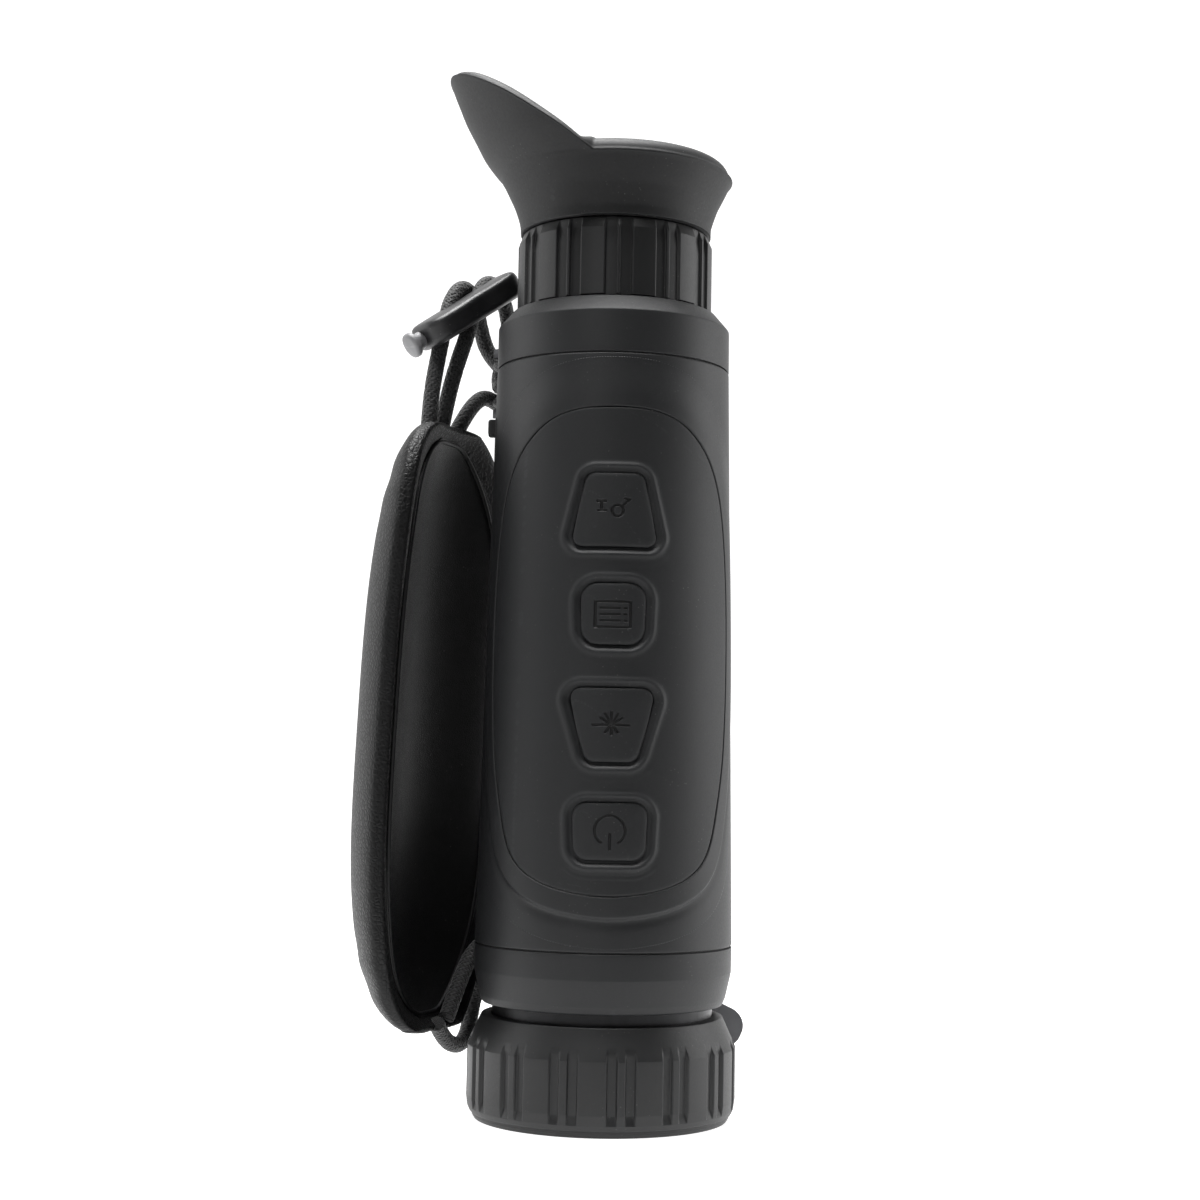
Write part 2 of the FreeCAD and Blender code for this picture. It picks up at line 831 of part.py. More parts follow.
def usb_socket():
    """Flat metal charging socket behind the cover."""
    middle = (cover_bottom_z + cover_top_z) / 2
    back = socket_back()
    body = block((back, back + socket_length), (-1.6, 1.6), (middle - 4.4, middle + 4.4))
    mouth = block((back - 1, back + socket_length - 1.5), (-1.2, 1.2), (middle - 4.0, middle + 4.0))
    return body.cut(mouth)


def port_frame():
    """Inner wall that carries the socket and closes the window."""
    inside = -(shell_radius(cover_top_z) - wall)
    back = socket_back()
    low = cover_bottom_z - 2 * knuckle_radius - 2.5
    middle = (cover_bottom_z + cover_top_z) / 2
    half = cover_width / 2 + 2.5
    frame = block((inside - 3, frame_back()), (-half, half), (low, cover_top_z + 2.0))
    frame = frame.common(body_inner(low - 1, cover_top_z + 3))
    socket_way = block((back - 2, back + 2), (-1.6, 1.6), (middle - 4.4, middle + 4.4))
    frame = frame.cut([cover_window(), socket_way])
    return frame


def port_cover():
    half = cover_width / 2
    plate = block((cover_face_x, cover_face_x + cover_thickness), (-half, half), (knuckle_z, cover_top_z))
    plate = plate.common(housing_cone(0.1, body_bottom, body_top))
    knuckle = cylinder(knuckle_radius, V(knuckle_x, -half, knuckle_z), Y_AXIS, cover_width)
    tab = block((cover_face_x - tab_reach, cover_face_x + 1), (-tab_width / 2, tab_width / 2),
                (cover_top_z - tab_height, cover_top_z - 0.3))
    tab_end = cover_face_x - tab_reach + 0.01
    tab = tab.makeFillet(0.6, [edge for edge in tab.Edges if edge.CenterOfMass.x < tab_end])
    cover = plate.fuse([knuckle, tab])
    pin_hole = cylinder(0.5, V(knuckle_x, -half - 1, knuckle_z), Y_AXIS, cover_width + 2)
    return cover.cut(pin_hole).removeSplitter()


def cover_pin():
    half = cover_width / 2 + cover_air + 1.2
    return cylinder(0.5 - running, V(knuckle_x, -half, knuckle_z), Y_AXIS, 2 * half)


# ---- eyepiece ----
eyebarrel_bottom = display_top
diopter_bottom = rear_top + air
diopter_top = diopter_bottom + diopter_height
eyecup_bottom = diopter_top + air
eyebarrel_top = eyecup_bottom + eyecup_seat_height
eyebarrel_bore = eyebarrel_radius - eyebarrel_wall
ocular_radius = eyebarrel_bore - running
ocular_bore = ocular_radius - ocular_wall
ocular_pin_z = diopter_bottom + diopter_height / 2
ocular_bottom = ocular_pin_z - ocular_length * 0.62
ocular_top = ocular_bottom + ocular_length


def eyepiece_barrel():
    barrel = tube(eyebarrel_radius, eyebarrel_bore, eyebarrel_bottom, eyebarrel_top)
    flange = tube(eyebarrel_radius + eye_flange_width, eyebarrel_bore, eyebarrel_bottom,
                  eyebarrel_bottom + eye_flange_height)
    slots = pin_slots(eyebarrel_bore - 2, eyebarrel_radius + 2, diopter_pin_radius, diopter_travel, ocular_pin_z,
                      diopter_pins_count, pins_angle)
    return barrel.fuse(flange).cut(slots).removeSplitter()


def diopter_ring():
    bore = eyebarrel_radius + running
    ring = lathe([
        (bore, diopter_bottom),
        (diopter_radius, diopter_bottom),
        (diopter_radius, diopter_top - 1.4 * diopter_chamfer),
        (diopter_radius - 0.6 * diopter_chamfer, diopter_top),
        (bore, diopter_top),
    ])
    cuts = grip_cuts(diopter_radius, diopter_cut_depth, diopter_groove_width, diopter_ridge_width,
                     diopter_bottom - 1, diopter_top - 1.2, diopter_pairs, 0)
    grooves = cam_grooves(bore, diopter_groove_depth, diopter_pin_radius, diopter_travel, diopter_turn,
                          ocular_pin_z, diopter_pins_count, pins_angle)
    return ring.cut(cuts).cut(grooves)


def ocular_cell():
    seat = 2.2
    cell = lathe([
        (ocular_bore, ocular_bottom),
        (ocular_radius, ocular_bottom),
        (ocular_radius, ocular_top),
        (ocular_bore, ocular_top),
        (ocular_bore, ocular_top - 6),
        (ocular_bore - seat, ocular_top - 6),
        (ocular_bore - seat, ocular_bottom + 5),
        (ocular_bore, ocular_bottom + 5),
    ])
    return cell.cut(cam_pins(ocular_bore, ocular_radius + 1, diopter_pin_radius, ocular_pin_z,
                             diopter_pins_count, pins_angle))


def ocular_pins():
    return cam_pins(ocular_bore, eyebarrel_radius + diopter_pin_reach, diopter_pin_radius, ocular_pin_z,
                    diopter_pins_count, pins_angle)


def eye_lens():
    return round_lens(ocular_bore, ocular_top - 6, 4.5, 1.0)


def field_lens():
    return round_lens(ocular_bore, ocular_bottom + 0.8, 4.2, 1.2)


def eyecup():
    """Rolled cup with a scoop-shaped wing: a flared skirt cut by one slanted plane."""
    base = eyecup_bottom
    seat = eyebarrel_radius + running
    rim_z = base + eyecup_rim_rise
    lip_z = base + eyecup_lip_rise
    throat = eyebarrel_bore - 0.5
    cup = lathe([
        (seat, base),
        (eyecup_base_radius, base),
        (eyecup_base_radius, base + 2.2),
        (eyecup_base_radius + 0.6, base + 4.1),
        (eyecup_base_radius + 1.4, base + 6.7),
        (eyecup_rim_radius - 1.2, base + 9.5),
        (eyecup_rim_radius, rim_z),
        (eyecup_rim_radius - 0.3, rim_z + 1.8),
        (eyecup_rim_radius - 1.6, lip_z - 0.4),
        (eyecup_rim_radius - 2.6, lip_z),
        (eyecup_rim_radius - 3.6, lip_z - 0.6),
        (throat + 1.2, base + 6.5),
        (throat, eyebarrel_top + 1.2),
        (throat, eyebarrel_top + 0.2),
        (seat, eyebarrel_top + 0.2),
    ])
    tip_z = base + wing_tip_rise
    middle = (0.5 * (eyecup_rim_radius + wing_tip_radius) + 0.9, 0.5 * (rim_z + tip_z) - 1.9)
    outer = Part.Arc(V(eyecup_rim_radius, 0, rim_z), V(middle[0], 0, middle[1]), V(wing_tip_radius, 0, tip_z))
    inner = Part.Arc(V(wing_tip_radius - eyecup_wall, 0, tip_z + 0.6),
                     V(middle[0] - 1.5, 0, middle[1] + 1.3),
                     V(eyecup_rim_radius - eyecup_wall, 0, rim_z + 0.8))
    edges = [outer.toShape(), Part.LineSegment(outer.EndPoint, inner.StartPoint).toShape(),
             inner.toShape(), Part.LineSegment(inner.EndPoint, outer.StartPoint).toShape()]
    skirt = Part.Face(Part.Wire(edges)).revolve(ORIGIN, Z_AXIS, 360)
    knife = Part.makeBox(120, 120, 60, V(-60, -60, 0))
    knife.rotate(ORIGIN, Y_AXIS, wing_slope)
    knife.translate(V(wing_notch_x, 0, rim_z + 0.4))
    wing = skirt.cut(knife)
    return cup.fuse(wing).removeSplitter()


# ---- strap ----
facing = math.radians(cushion_facing)
OUT = V(math.cos(facing), math.sin(facing), 0)
ALONG = V(math.sin(facing), -math.cos(facing), 0)


def cushion_section(height):
    """Curved pad section at one height: outer arc, rounded edge, inner arc, rounded edge."""
    middle = (cushion_bottom_z + cushion_top_z) / 2
    half_height = (cushion_top_z - cushion_bottom_z) / 2
    share = min(1.0, abs(height - middle) / half_height)
    swell = math.sqrt(max(0.0, 1 - share ** 5))
    width = cushion_end_half_width + (cushion_half_width - cushion_end_half_width) * swell
    bow = math.sqrt(max(0.0, 1 - share ** 3.2))
    distance = cushion_end_distance + (cushion_distance - cushion_end_distance) * bow
    distance -= cushion_lean * (height - middle) * bow
    curl = cushion_curl * (width / cushion_half_width) ** 2
    thick = cushion_thickness * (0.55 + 0.45 * swell)

    def place(along, out):
        return ALONG * (cushion_side + along) + OUT * out + V(0, 0, height)

    edge = distance - curl
    outer = Part.Arc(place(-width, edge), place(0, distance), place(width, edge))
    inner = Part.Arc(place(width - 0.3 * thick, edge - thick * 0.85), place(0, distance - thick),
                     place(-width + 0.3 * thick, edge - thick * 0.85))
    right = Part.Arc(outer.EndPoint, place(width + 0.25 * thick, edge - 0.5 * thick), inner.StartPoint)
    left = Part.Arc(inner.EndPoint, place(-width - 0.25 * thick, edge - 0.5 * thick), outer.StartPoint)
    return Part.Wire([outer.toShape(), right.toShape(), inner.toShape(), left.toShape()])


def strap_cushion():
    middle = (cushion_bottom_z + cushion_top_z) / 2
    half_height = (cushion_top_z - cushion_bottom_z) / 2
    shares = (-1.0, -0.93, -0.8, -0.55, -0.25, 0.0, 0.25, 0.55, 0.8, 0.93, 1.0)
    sections = [cushion_section(middle + share * half_height) for share in shares]
    return Part.makeLoft(sections, True, False)


# Cord routes, chosen by hand, in order from the cushion outwards.
front_cord_route = [
    V(-40.4, 3.8, 145.2), V(-40.2, 5.0, 154.0), V(-39.0, 7.4, 163.5), V(-37.6, 9.8, 172.0),
    V(-36.6, 12.2, 178.4), V(-34.2, 16.8, 183.0), V(-31.6, 22.2, 181.6), V(-30.2, 26.0, 175.4),
    V(-28.4, 27.9, 169.4), V(-25.3, 25.3, 166.0),
]
middle_cord_route = [
    V(-38.2, 8.3, 145.6), V(-36.9, 9.2, 154.0), V(-34.9, 10.4, 163.0), V(-32.2, 12.8, 172.0),
    V(-31.0, 15.4, 179.0), V(-29.0, 19.6, 184.8), V(-26.0, 25.0, 184.4), V(-23.8, 28.8, 178.8),
    V(-23.4, 30.2, 171.2), V(-26.0, 28.6, 164.2), V(-25.3, 25.3, 161.2),
]
return_cord_route = [
    V(-36.0, 12.8, 145.6), V(-33.4, 15.2, 151.6), V(-30.6, 19.4, 156.8), V(-28.0, 23.8, 158.8),
    V(-25.3, 25.3, 157.0),
]
lower_cord_route = [
    V(-35.6, 7.4, 18.2), V(-34.4, 12.6, 14.4), V(-31.8, 18.2, 11.8), V(-29.8, 23.8, 12.6),
    V(-28.8, 27.6, 17.4), V(-27.8, 28.0, 23.6), V(-25.3, 25.3, 28.0),
]
diagonal_cord_route = [
    V(-33.6, 10.6, 19.0), V(-32.2, 14.6, 23.2), V(-30.4, 19.0, 28.2), V(-28.4, 23.2, 32.8),
    V(-25.3, 25.3, 34.8),
]
leash_route = [
    V(-33.0, 19.6, 27.8), V(-32.8, 21.8, 25.6), V(-32.0, 24.6, 25.0), V(-30.6, 27.4, 26.6),
    V(-28.6, 28.2, 29.4), V(-25.6, 25.8, 31.4),
]


def cord_path(points):
    """Straight runs joined by tangent arcs, and each arc's radius."""
    edges = []
    radii = []
    start = points[0]
    for before, corner, after in zip(points, points[1:], points[2:]):
        back = before - corner
        ahead = after - corner
        run = min(back.Length, ahead.Length)
        turn = math.pi - back.getAngle(ahead)
        reach = 0.45 * run
        radii.append(reach / math.tan(turn / 2))
        back.normalize()
        ahead.normalize()
        first = corner + back * reach
        last = corner + ahead * reach
        bisector = back + ahead
        bisector.normalize()
        centre = corner + bisector * (radii[-1] / math.cos(turn / 2))
        middle = centre - bisector * radii[-1]
        edges.append(Part.LineSegment(start, first).toShape())
        edges.append(Part.Arc(first, middle, last).toShape())
        start = last
    edges.append(Part.LineSegment(start, points[-1]).toShape())
    return Part.Wire(edges), radii


def cord(name, points, radius):
    path, radii = cord_path(points)
    heading = points[1] - points[0]
    section = Part.Wire([Part.Circle(points[0], heading, radius).toShape()])
    solid = path.makePipeShell([section], True, False)
    solid = Part.Solid(solid) if solid.ShapeType != "Solid" else solid
    expected = math.pi * radius ** 2 * path.Length
    print(f"{name}: length {path.Length:.1f}, volume {solid.Volume:.1f} of {expected:.1f}, radii",
          " ".join(f"{value:.1f}" for value in radii))
    return solid


lock_line = lock_high_end - lock_low_end
lock_middle = (lock_low_end + lock_high_end) * 0.5
LOCK_LONG = lock_line * (1.0 / lock_line.Length)
LOCK_SIDE = LOCK_LONG.cross(Z_AXIS).normalize()
LOCK_UP = LOCK_SIDE.cross(LOCK_LONG).normalize()


def place_lock(shape):
    matrix = FreeCAD.Matrix(
        LOCK_LONG.x, LOCK_SIDE.x, LOCK_UP.x, lock_middle.x,
        LOCK_LONG.y, LOCK_SIDE.y, LOCK_UP.y, lock_middle.y,
        LOCK_LONG.z, LOCK_SIDE.z, LOCK_UP.z, lock_middle.z,
        0, 0, 0, 1)
    placed = shape.copy()
    placed.Placement = FreeCAD.Placement(matrix)
    return placed


def cord_lock_body():
    half = lock_length / 2
    body = block((-half, half), (-lock_width / 2, lock_width / 2), (-lock_thickness / 2, lock_thickness / 2))
    ends = [edge for edge in body.Edges if abs(edge.tangentAt(edge.FirstParameter).z) > 0.99]
    body = body.makeFillet(lock_width * 0.42, ends)
    bore = cylinder(plunger_radius + running, V(-half - 1, 0, 0), X_AXIS, plunger_depth + plunger_stroke + 1)
    body = place_lock(body.cut(bore))
    for route in (front_cord_route, middle_cord_route):
        path = cord_path(route)[0]
        heading = route[1] - route[0]
        section = Part.Wire([Part.Circle(route[0], heading, cord_radius + lock_hole_air).toShape()])
        channel = path.makePipeShell([section], True, False)
        body = body.cut(Part.Solid(channel) if channel.ShapeType != "Solid" else channel)
    return max(body.Solids, key=lambda solid: solid.Volume)


def cord_lock_plunger():
    half = lock_length / 2
    head_start = -half - plunger_stroke - 0.2 - plunger_head_length
    head = cylinder(plunger_head_radius, V(head_start, 0, 0), X_AXIS, plunger_head_length)
    head = head.makeFillet(0.8, [edge for edge in head.Edges if edge.CenterOfMass.x < head_start + 0.01])
    stem = cylinder(plunger_radius, V(head_start + 1, 0, 0), X_AXIS,
                    plunger_head_length - 1 + plunger_stroke + 0.2 + plunger_depth - 0.5)
    return place_lock(head.fuse(stem).removeSplitter())


# ---- lens cap ----
lens_cap_z = lens_cap_bottom_z + lens_cap_radius
cap_pin_z = lens_cap_z + lens_cap_radius + cap_eye_radius + 1.4
cap_pin_y = lens_cap_face_y + lens_cap_plate / 2


def lens_cap():
    centre = V(lens_cap_x, lens_cap_face_y, lens_cap_z)
    plate = cylinder(lens_cap_radius, centre, Y_AXIS, lens_cap_plate)
    plug_radius = bezel_bore_radius - lens_cap_plug_air
    plug = cylinder(plug_radius, centre + Y_AXIS * lens_cap_plate, Y_AXIS, lens_cap_plug_depth)
    plug = plug.cut(cylinder(plug_radius - lens_cap_plug_wall, centre + Y_AXIS * lens_cap_plate, Y_AXIS,
                             lens_cap_plug_depth + 1))
    tab = block((lens_cap_radius - 4, lens_cap_tab_reach), (lens_cap_face_y, lens_cap_face_y + lens_cap_plate),
                (-lens_cap_tab_width / 2, lens_cap_tab_width / 2))
    outer = [edge for edge in tab.Edges if edge.CenterOfMass.x > lens_cap_tab_reach - 0.01
             and abs(edge.tangentAt(edge.FirstParameter).y) > 0.99]
    tab = tab.makeFillet(lens_cap_tab_width * 0.45, outer)
    tab.rotate(ORIGIN, Y_AXIS, -lens_cap_tab_angle)
    tab.translate(V(lens_cap_x, 0, lens_cap_z))
    eye_start = lens_cap_x - cap_eye_width / 2
    strip = block((eye_start, eye_start + cap_eye_width), (lens_cap_face_y, lens_cap_face_y + lens_cap_plate),
                  (lens_cap_z + lens_cap_radius - 2, cap_pin_z))
    eye = cylinder(cap_eye_radius, V(eye_start, cap_pin_y, cap_pin_z), X_AXIS, cap_eye_width)
    cap = plate.fuse([plug, tab, strip, eye])
    hole = cylinder(cap_pin_radius + running, V(eye_start - 1, cap_pin_y, cap_pin_z), X_AXIS, cap_eye_width + 2)
    return cap.cut(hole).removeSplitter()


def cap_hanger():
    """Two ears and a pin on the housing's back that the lens cap hangs from."""
    ear = 2.0
    half = cap_eye_width / 2 + air
    outer = cap_pin_y + cap_pin_radius + 1.2
    low = cap_pin_z - 3.2
    high = cap_pin_z + 3.2
    left = lens_cap_x - half - ear
    right = lens_cap_x + half
    ears = [block((x, x + ear), (shell_radius(high) - 4, outer), (low, high)) for x in (left, right)]
    foot_front = shell_radius(low) + 0.9
    foot = block((left, right + ear), (shell_radius(high) - 4, foot_front), (low, high))
    pin = cylinder(cap_pin_radius, V(left + 1, cap_pin_y, cap_pin_z), X_AXIS, 2 * half + 2)
    hanger = foot.fuse(ears).cut(housing_cone(0, body_bottom, body_top)).fuse(pin)
    return hanger.removeSplitter()


def main():
    os.makedirs("parts", exist_ok=True)
    save("body_shell", body_shell())
    save("front_cap", front_cap())
    save("rear_cap", rear_cap())
    save("housing_seals", [seal(cap_top), seal(body_top)])
    save("keypad_membrane", keypad_membrane())
    for name in keys:
        save(name, key(name))
    save("key_board", key_board())
    save("key_switches", key_switches())
    save("board_spacers", board_spacers())
    save("main_board", main_board())
    save("processor_shield", processor_shield())
    save("inner_screws", flange_screws() + board_screws())
    save("chassis", chassis())
    save("battery_cell", battery_cell())
    save("battery_cradle", battery_cradle())
    save("usb_socket", usb_socket())
    save("port_frame", port_frame())
    save("port_cover", port_cover())
    save("port_cover_pin", cover_pin())
    save("tripod_bush", tripod_bush())
    save("objective_barrel", objective_barrel())
    save("ring_keeper", ring_keeper())
    save("focus_ring", focus_ring())
    save("focus_cell", focus_cell())
    save("focus_pins", focus_pins())
    save("objective_lens", objective_lens())
    save("lens_retainer", lens_retainer())
    save("rear_objective_lens", rear_objective_lens())
    save("prism_holder", prism_holder())
    save("splitter_prism", splitter_prism())
    save("laser_emitter", diode(1))
    save("laser_receiver", diode(-1))
    save("sensor_board", sensor_board())
    save("image_sensor", image_sensor())
    save("display_board", display_board())
    save("micro_display", micro_display())
    save("eyepiece_barrel", eyepiece_barrel())
    save("diopter_ring", diopter_ring())
    save("ocular_cell", ocular_cell())
    save("ocular_pins", ocular_pins())
    save("eye_lens", eye_lens())
    save("field_lens", field_lens())
    save("eyecup", eyecup())
    save("lower_strap_lug", strap_lug(lower_lug_z))
    save("upper_strap_lug", strap_lug(upper_lug_z))
    save("lug_screws", lug_screws())
    save("strap_cushion", strap_cushion())
    save("front_cord", cord("front_cord", front_cord_route, cord_radius))
    save("middle_cord", cord("middle_cord", middle_cord_route, cord_radius))
    save("return_cord", cord("return_cord", return_cord_route, cord_radius))
    save("lower_cord", cord("lower_cord", lower_cord_route, cord_radius))
    save("diagonal_cord", cord("diagonal_cord", diagonal_cord_route, cord_radius))
    save("leash_string", cord("leash_string", leash_route, string_radius))
    save("cord_lock_body", cord_lock_body())
    save("cord_lock_plunger", cord_lock_plunger())
    save("lens_cap", lens_cap())
    save("cap_hanger", cap_hanger())


main()
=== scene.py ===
import json
import math

import bpy
import numpy as np
from mathutils import Matrix, Vector


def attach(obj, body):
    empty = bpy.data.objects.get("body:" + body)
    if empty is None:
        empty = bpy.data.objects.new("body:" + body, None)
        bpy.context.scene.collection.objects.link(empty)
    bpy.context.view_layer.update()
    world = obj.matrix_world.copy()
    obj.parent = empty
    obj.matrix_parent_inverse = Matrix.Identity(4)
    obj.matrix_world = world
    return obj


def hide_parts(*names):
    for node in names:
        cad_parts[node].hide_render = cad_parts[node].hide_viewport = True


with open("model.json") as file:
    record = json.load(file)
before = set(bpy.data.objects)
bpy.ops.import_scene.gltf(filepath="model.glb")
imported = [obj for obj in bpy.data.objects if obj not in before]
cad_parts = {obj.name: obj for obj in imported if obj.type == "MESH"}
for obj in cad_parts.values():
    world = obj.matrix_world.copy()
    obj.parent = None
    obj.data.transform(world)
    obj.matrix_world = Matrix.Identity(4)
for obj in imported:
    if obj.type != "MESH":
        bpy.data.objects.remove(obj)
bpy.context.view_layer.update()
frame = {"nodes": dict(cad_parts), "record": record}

bl_info = {
    "name": "Rangefinder monocular looks",
    "version": (1, 0, 0),
    "blender": (4, 5, 0),
    "location": "View3D > Sidebar > Rangefinder",
    "description": "Surfaces, soft goods and finishes for a handheld rangefinder monocular",
    "category": "Object",
}

MM = 0.001
CAMERA_DISTANCE = 0.450
CAMERA_HEIGHT = 0.0742
CAMERA_SWING = math.radians(-1.7)
CAMERA_PITCH = math.radians(90 + 4.6)
CAMERA_ROLL = math.radians(1.048)
FULL = 2 * math.pi

# ---- sizes in millimetres, as the housing is made ----
RING_RADIUS = 28.6
RING_HEIGHT = 21.8
CAP_BOTTOM = 24.2
CAP_TOP = 36.5
BODY_BOTTOM = 36.8
BODY_TOP = 160.0
BODY_FRONT_RADIUS = 27.5
BODY_REAR_RADIUS = 25.3
WALL = 2.4
REAR_BOTTOM = 160.3
REAR_TOP = 172.9
EYEBARREL_RADIUS = 18.5
DIOPTER_BOTTOM = 173.2
DIOPTER_TOP = 190.0
DIOPTER_RADIUS = 21.3
EYECUP_BOTTOM = 190.3
BARREL_RADIUS = 23.5
SADDLE_RISE = 0.55
PANEL_MIDDLE = 98.0
UNROLL_RADIUS = 26.4            # mean radius at which the panel's surface is laid flat
RING_CLEARANCE = 0.06

# ---- keypad panel: half width across the front against height, top to bottom ----
PANEL_EDGE = [(0.0, 148.6), (8.7, 147.9), (15.0, 144.9), (20.0, 138.2), (22.6, 128.5), (23.9, 113.0),
              (24.2, 95.0), (23.7, 78.0), (22.4, 66.5), (20.9, 58.6), (18.6, 53.9), (14.2, 50.7), (8.0, 48.8),
              (0.0, 48.0)]
# centre height, top width, bottom width, height of each key
KEYS = {
    "zoom_key": (127.0, 12.2, 17.3, 15.3),
    "menu_key": (105.5, 13.2, 12.8, 12.6),
    "laser_key": (82.8, 17.3, 11.4, 15.1),
    "power_key": (61.2, 15.1, 14.6, 11.6),
}
KEY_CORNER = {"zoom_key": 2.2, "menu_key": 3.6, "laser_key": 2.6, "power_key": 3.0}

# ---- hand strap ----
CUSHION_FACING = math.radians(154.5)
CUSHION_OUT = np.array([math.cos(CUSHION_FACING), math.sin(CUSHION_FACING), 0.0])
CUSHION_ALONG = np.array([math.sin(CUSHION_FACING), -math.cos(CUSHION_FACING), 0.0])
CUSHION_LOW, CUSHION_HIGH = 16.8, 148.6
CUSHION_SIDE = -9.0
LUG_LINE_RADIUS = 32.5

# Cord routes in millimetres, from the cushion outwards.
CORD_ROUTES = {
    "front_cord": [(-40.4, 3.8, 145.2), (-40.2, 5.0, 154.0), (-39.0, 7.4, 163.5), (-37.6, 9.8, 172.0),
                   (-36.6, 12.2, 178.4), (-34.2, 16.8, 183.0), (-31.6, 22.2, 181.6), (-30.2, 26.0, 175.4),
                   (-28.4, 27.9, 169.4), (-25.3, 25.3, 166.0)],
    "middle_cord": [(-38.2, 8.3, 145.6), (-36.9, 9.2, 154.0), (-34.9, 10.4, 163.0), (-32.2, 12.8, 172.0),
                    (-31.0, 15.4, 179.0), (-29.0, 19.6, 184.8), (-26.0, 25.0, 184.4), (-23.8, 28.8, 178.8),
                    (-23.4, 30.2, 171.2), (-26.0, 28.6, 164.2), (-25.3, 25.3, 161.2)],
    "return_cord": [(-36.0, 12.8, 145.6), (-33.4, 15.2, 151.6), (-30.6, 19.4, 156.8), (-28.0, 23.8, 158.8),
                    (-25.3, 25.3, 157.0)],
    "lower_cord": [(-35.6, 7.4, 18.2), (-34.4, 12.6, 14.4), (-31.8, 18.2, 11.8), (-29.8, 23.8, 12.6),
                   (-28.8, 27.6, 17.4), (-27.8, 28.0, 23.6), (-25.3, 25.3, 28.0)],
    "diagonal_cord": [(-33.6, 10.6, 19.0), (-32.2, 14.6, 23.2), (-30.4, 19.0, 28.2), (-28.4, 23.2, 32.8),
                      (-25.3, 25.3, 34.8)],
    "leash_string": [(-33.0, 19.6, 27.8), (-32.8, 21.8, 25.6), (-32.0, 24.6, 25.0), (-30.6, 27.4, 26.6),
                     (-28.6, 28.2, 29.4), (-25.6, 25.8, 31.4)],
}
LOCK_LOW_END = np.array([-42.6, 7.0, 168.2])
LOCK_HIGH_END = np.array([-22.6, 17.6, 184.0])


def colour_setting(name, description, default):
    """A colour that a user may change."""
    return bpy.props.FloatVectorProperty(
        name=name, description=description, subtype="COLOR", size=3, min=0, max=1, default=default)


def number_setting(name, description, unit, low, high, default):
    """A size or strength that a user may change, with its unit and limits."""
    return bpy.props.FloatProperty(
        name=name, description=description, unit=unit, min=low, max=high, default=default)


class RangefinderSettings(bpy.types.PropertyGroup):
    """Sizes and colours that a user would change."""

    shell_colour: colour_setting(
        "Housing colour", "Soft-touch coating of the housing", (0.0085, 0.0089, 0.0098))
    keypad_colour: colour_setting(
        "Keypad colour", "Moulded silicone of the keypad and keys", (0.0078, 0.0083, 0.0092))
    grip_colour: colour_setting(
        "Ring colour", "Ribbed nylon of the focus and diopter rings", (0.0050, 0.0052, 0.0056))
    rubber_colour: colour_setting(
        "Eyecup colour", "Rubber of the eyecup and covers", (0.0070, 0.0072, 0.0077))
    leather_colour: colour_setting(
        "Leatherette colour", "Outer skin of the hand strap", (0.0032, 0.0032, 0.0034))
    cord_colour: colour_setting(
        "Cord colour", "Braided cord of the hand strap", (0.0035, 0.0035, 0.0037))
    cord_diameter: number_setting(
        "Cord diameter", "Outside diameter of the braided cord", "LENGTH", 0.001, 0.006, 0.0036)
    string_diameter: number_setting(
        "Leash diameter", "Outside diameter of the thin leash", "LENGTH", 0.0005, 0.002, 0.0009)
    cushion_thickness: number_setting(
        "Cushion thickness", "Padding of the hand strap half way up", "LENGTH", 0.003, 0.012, 0.0078)
    piping_radius: number_setting(
        "Piping radius", "Cord sewn into the cushion's inner rim", "LENGTH", 0.0002, 0.0015, 0.00055)
    rim_height: number_setting(
        "Key rim height", "Soft rim round each key", "LENGTH", 0.0, 0.001, 0.00042)
    icon_depth: number_setting(
        "Symbol depth", "How deep the key symbols are pressed in", "LENGTH", 0.0, 0.0005, 0.00030)
    key_light: number_setting(
        "Key light", "Power of the large soft light at the left", "POWER", 0.0, 50.0, 2.4)
    room_light: number_setting(
        "Room light", "Even light of the white room", "NONE", 0.0, 2.0, 0.07)
    floor_glow: number_setting(
        "Backdrop glow", "Light given off by the pale sweep behind the object", "NONE", 0.0, 2.0, 0.95)
    front_light: number_setting(
        "Front light", "Power of the small soft light beside the camera", "POWER", 0.0, 50.0, 0.8)
    top_light: number_setting(
        "Top light", "Power of the soft light overhead", "POWER", 0.0, 50.0, 26.0)
    fill_light: number_setting(
        "Fill light", "Power of the soft light at the right", "POWER", 0.0, 50.0, 3.4)


# ---------------------------------------------------------------- mesh tools
def smoothstep(low, high, value):
    """0 below low, 1 above high, with a smooth cubic between."""
    share = np.clip((value - low) / (high - low), 0.0, 1.0)
    return share * share * (3 - 2 * share)


def grid_quads(rows, columns, wrap_rows, wrap_columns, first=0):
    """Corner indices of a grid's quads, wrapped round in either direction."""
    row = np.arange(rows if wrap_rows else rows - 1)
    column = np.arange(columns if wrap_columns else columns - 1)
    r, c = np.meshgrid(row, column, indexing="ij")
    r_next, c_next = (r + 1) % rows, (c + 1) % columns
    quads = np.stack([r * columns + c, r * columns + c_next,
                      r_next * columns + c_next, r_next * columns + c], -1)
    return quads.reshape(-1, 4) + first


def fan(ring, centre, flip):
    """Triangles from a ring of vertex indices to one centre vertex."""
    after = np.roll(ring, -1)
    middle = np.full_like(ring, centre)
    return np.stack([after, ring, middle] if flip else [ring, after, middle], -1)


def signed_volume(points, quads, triangles):
    """Six times the volume inside the faces, positive when they point outwards."""
    parts = [quads[:, [0, 1, 2]], quads[:, [0, 2, 3]]]
    if len(triangles):
        parts.append(triangles)
    corners = points[np.concatenate(parts)]
    return np.einsum("ij,ij->", corners[:, 0], np.cross(corners[:, 1], corners[:, 2]))


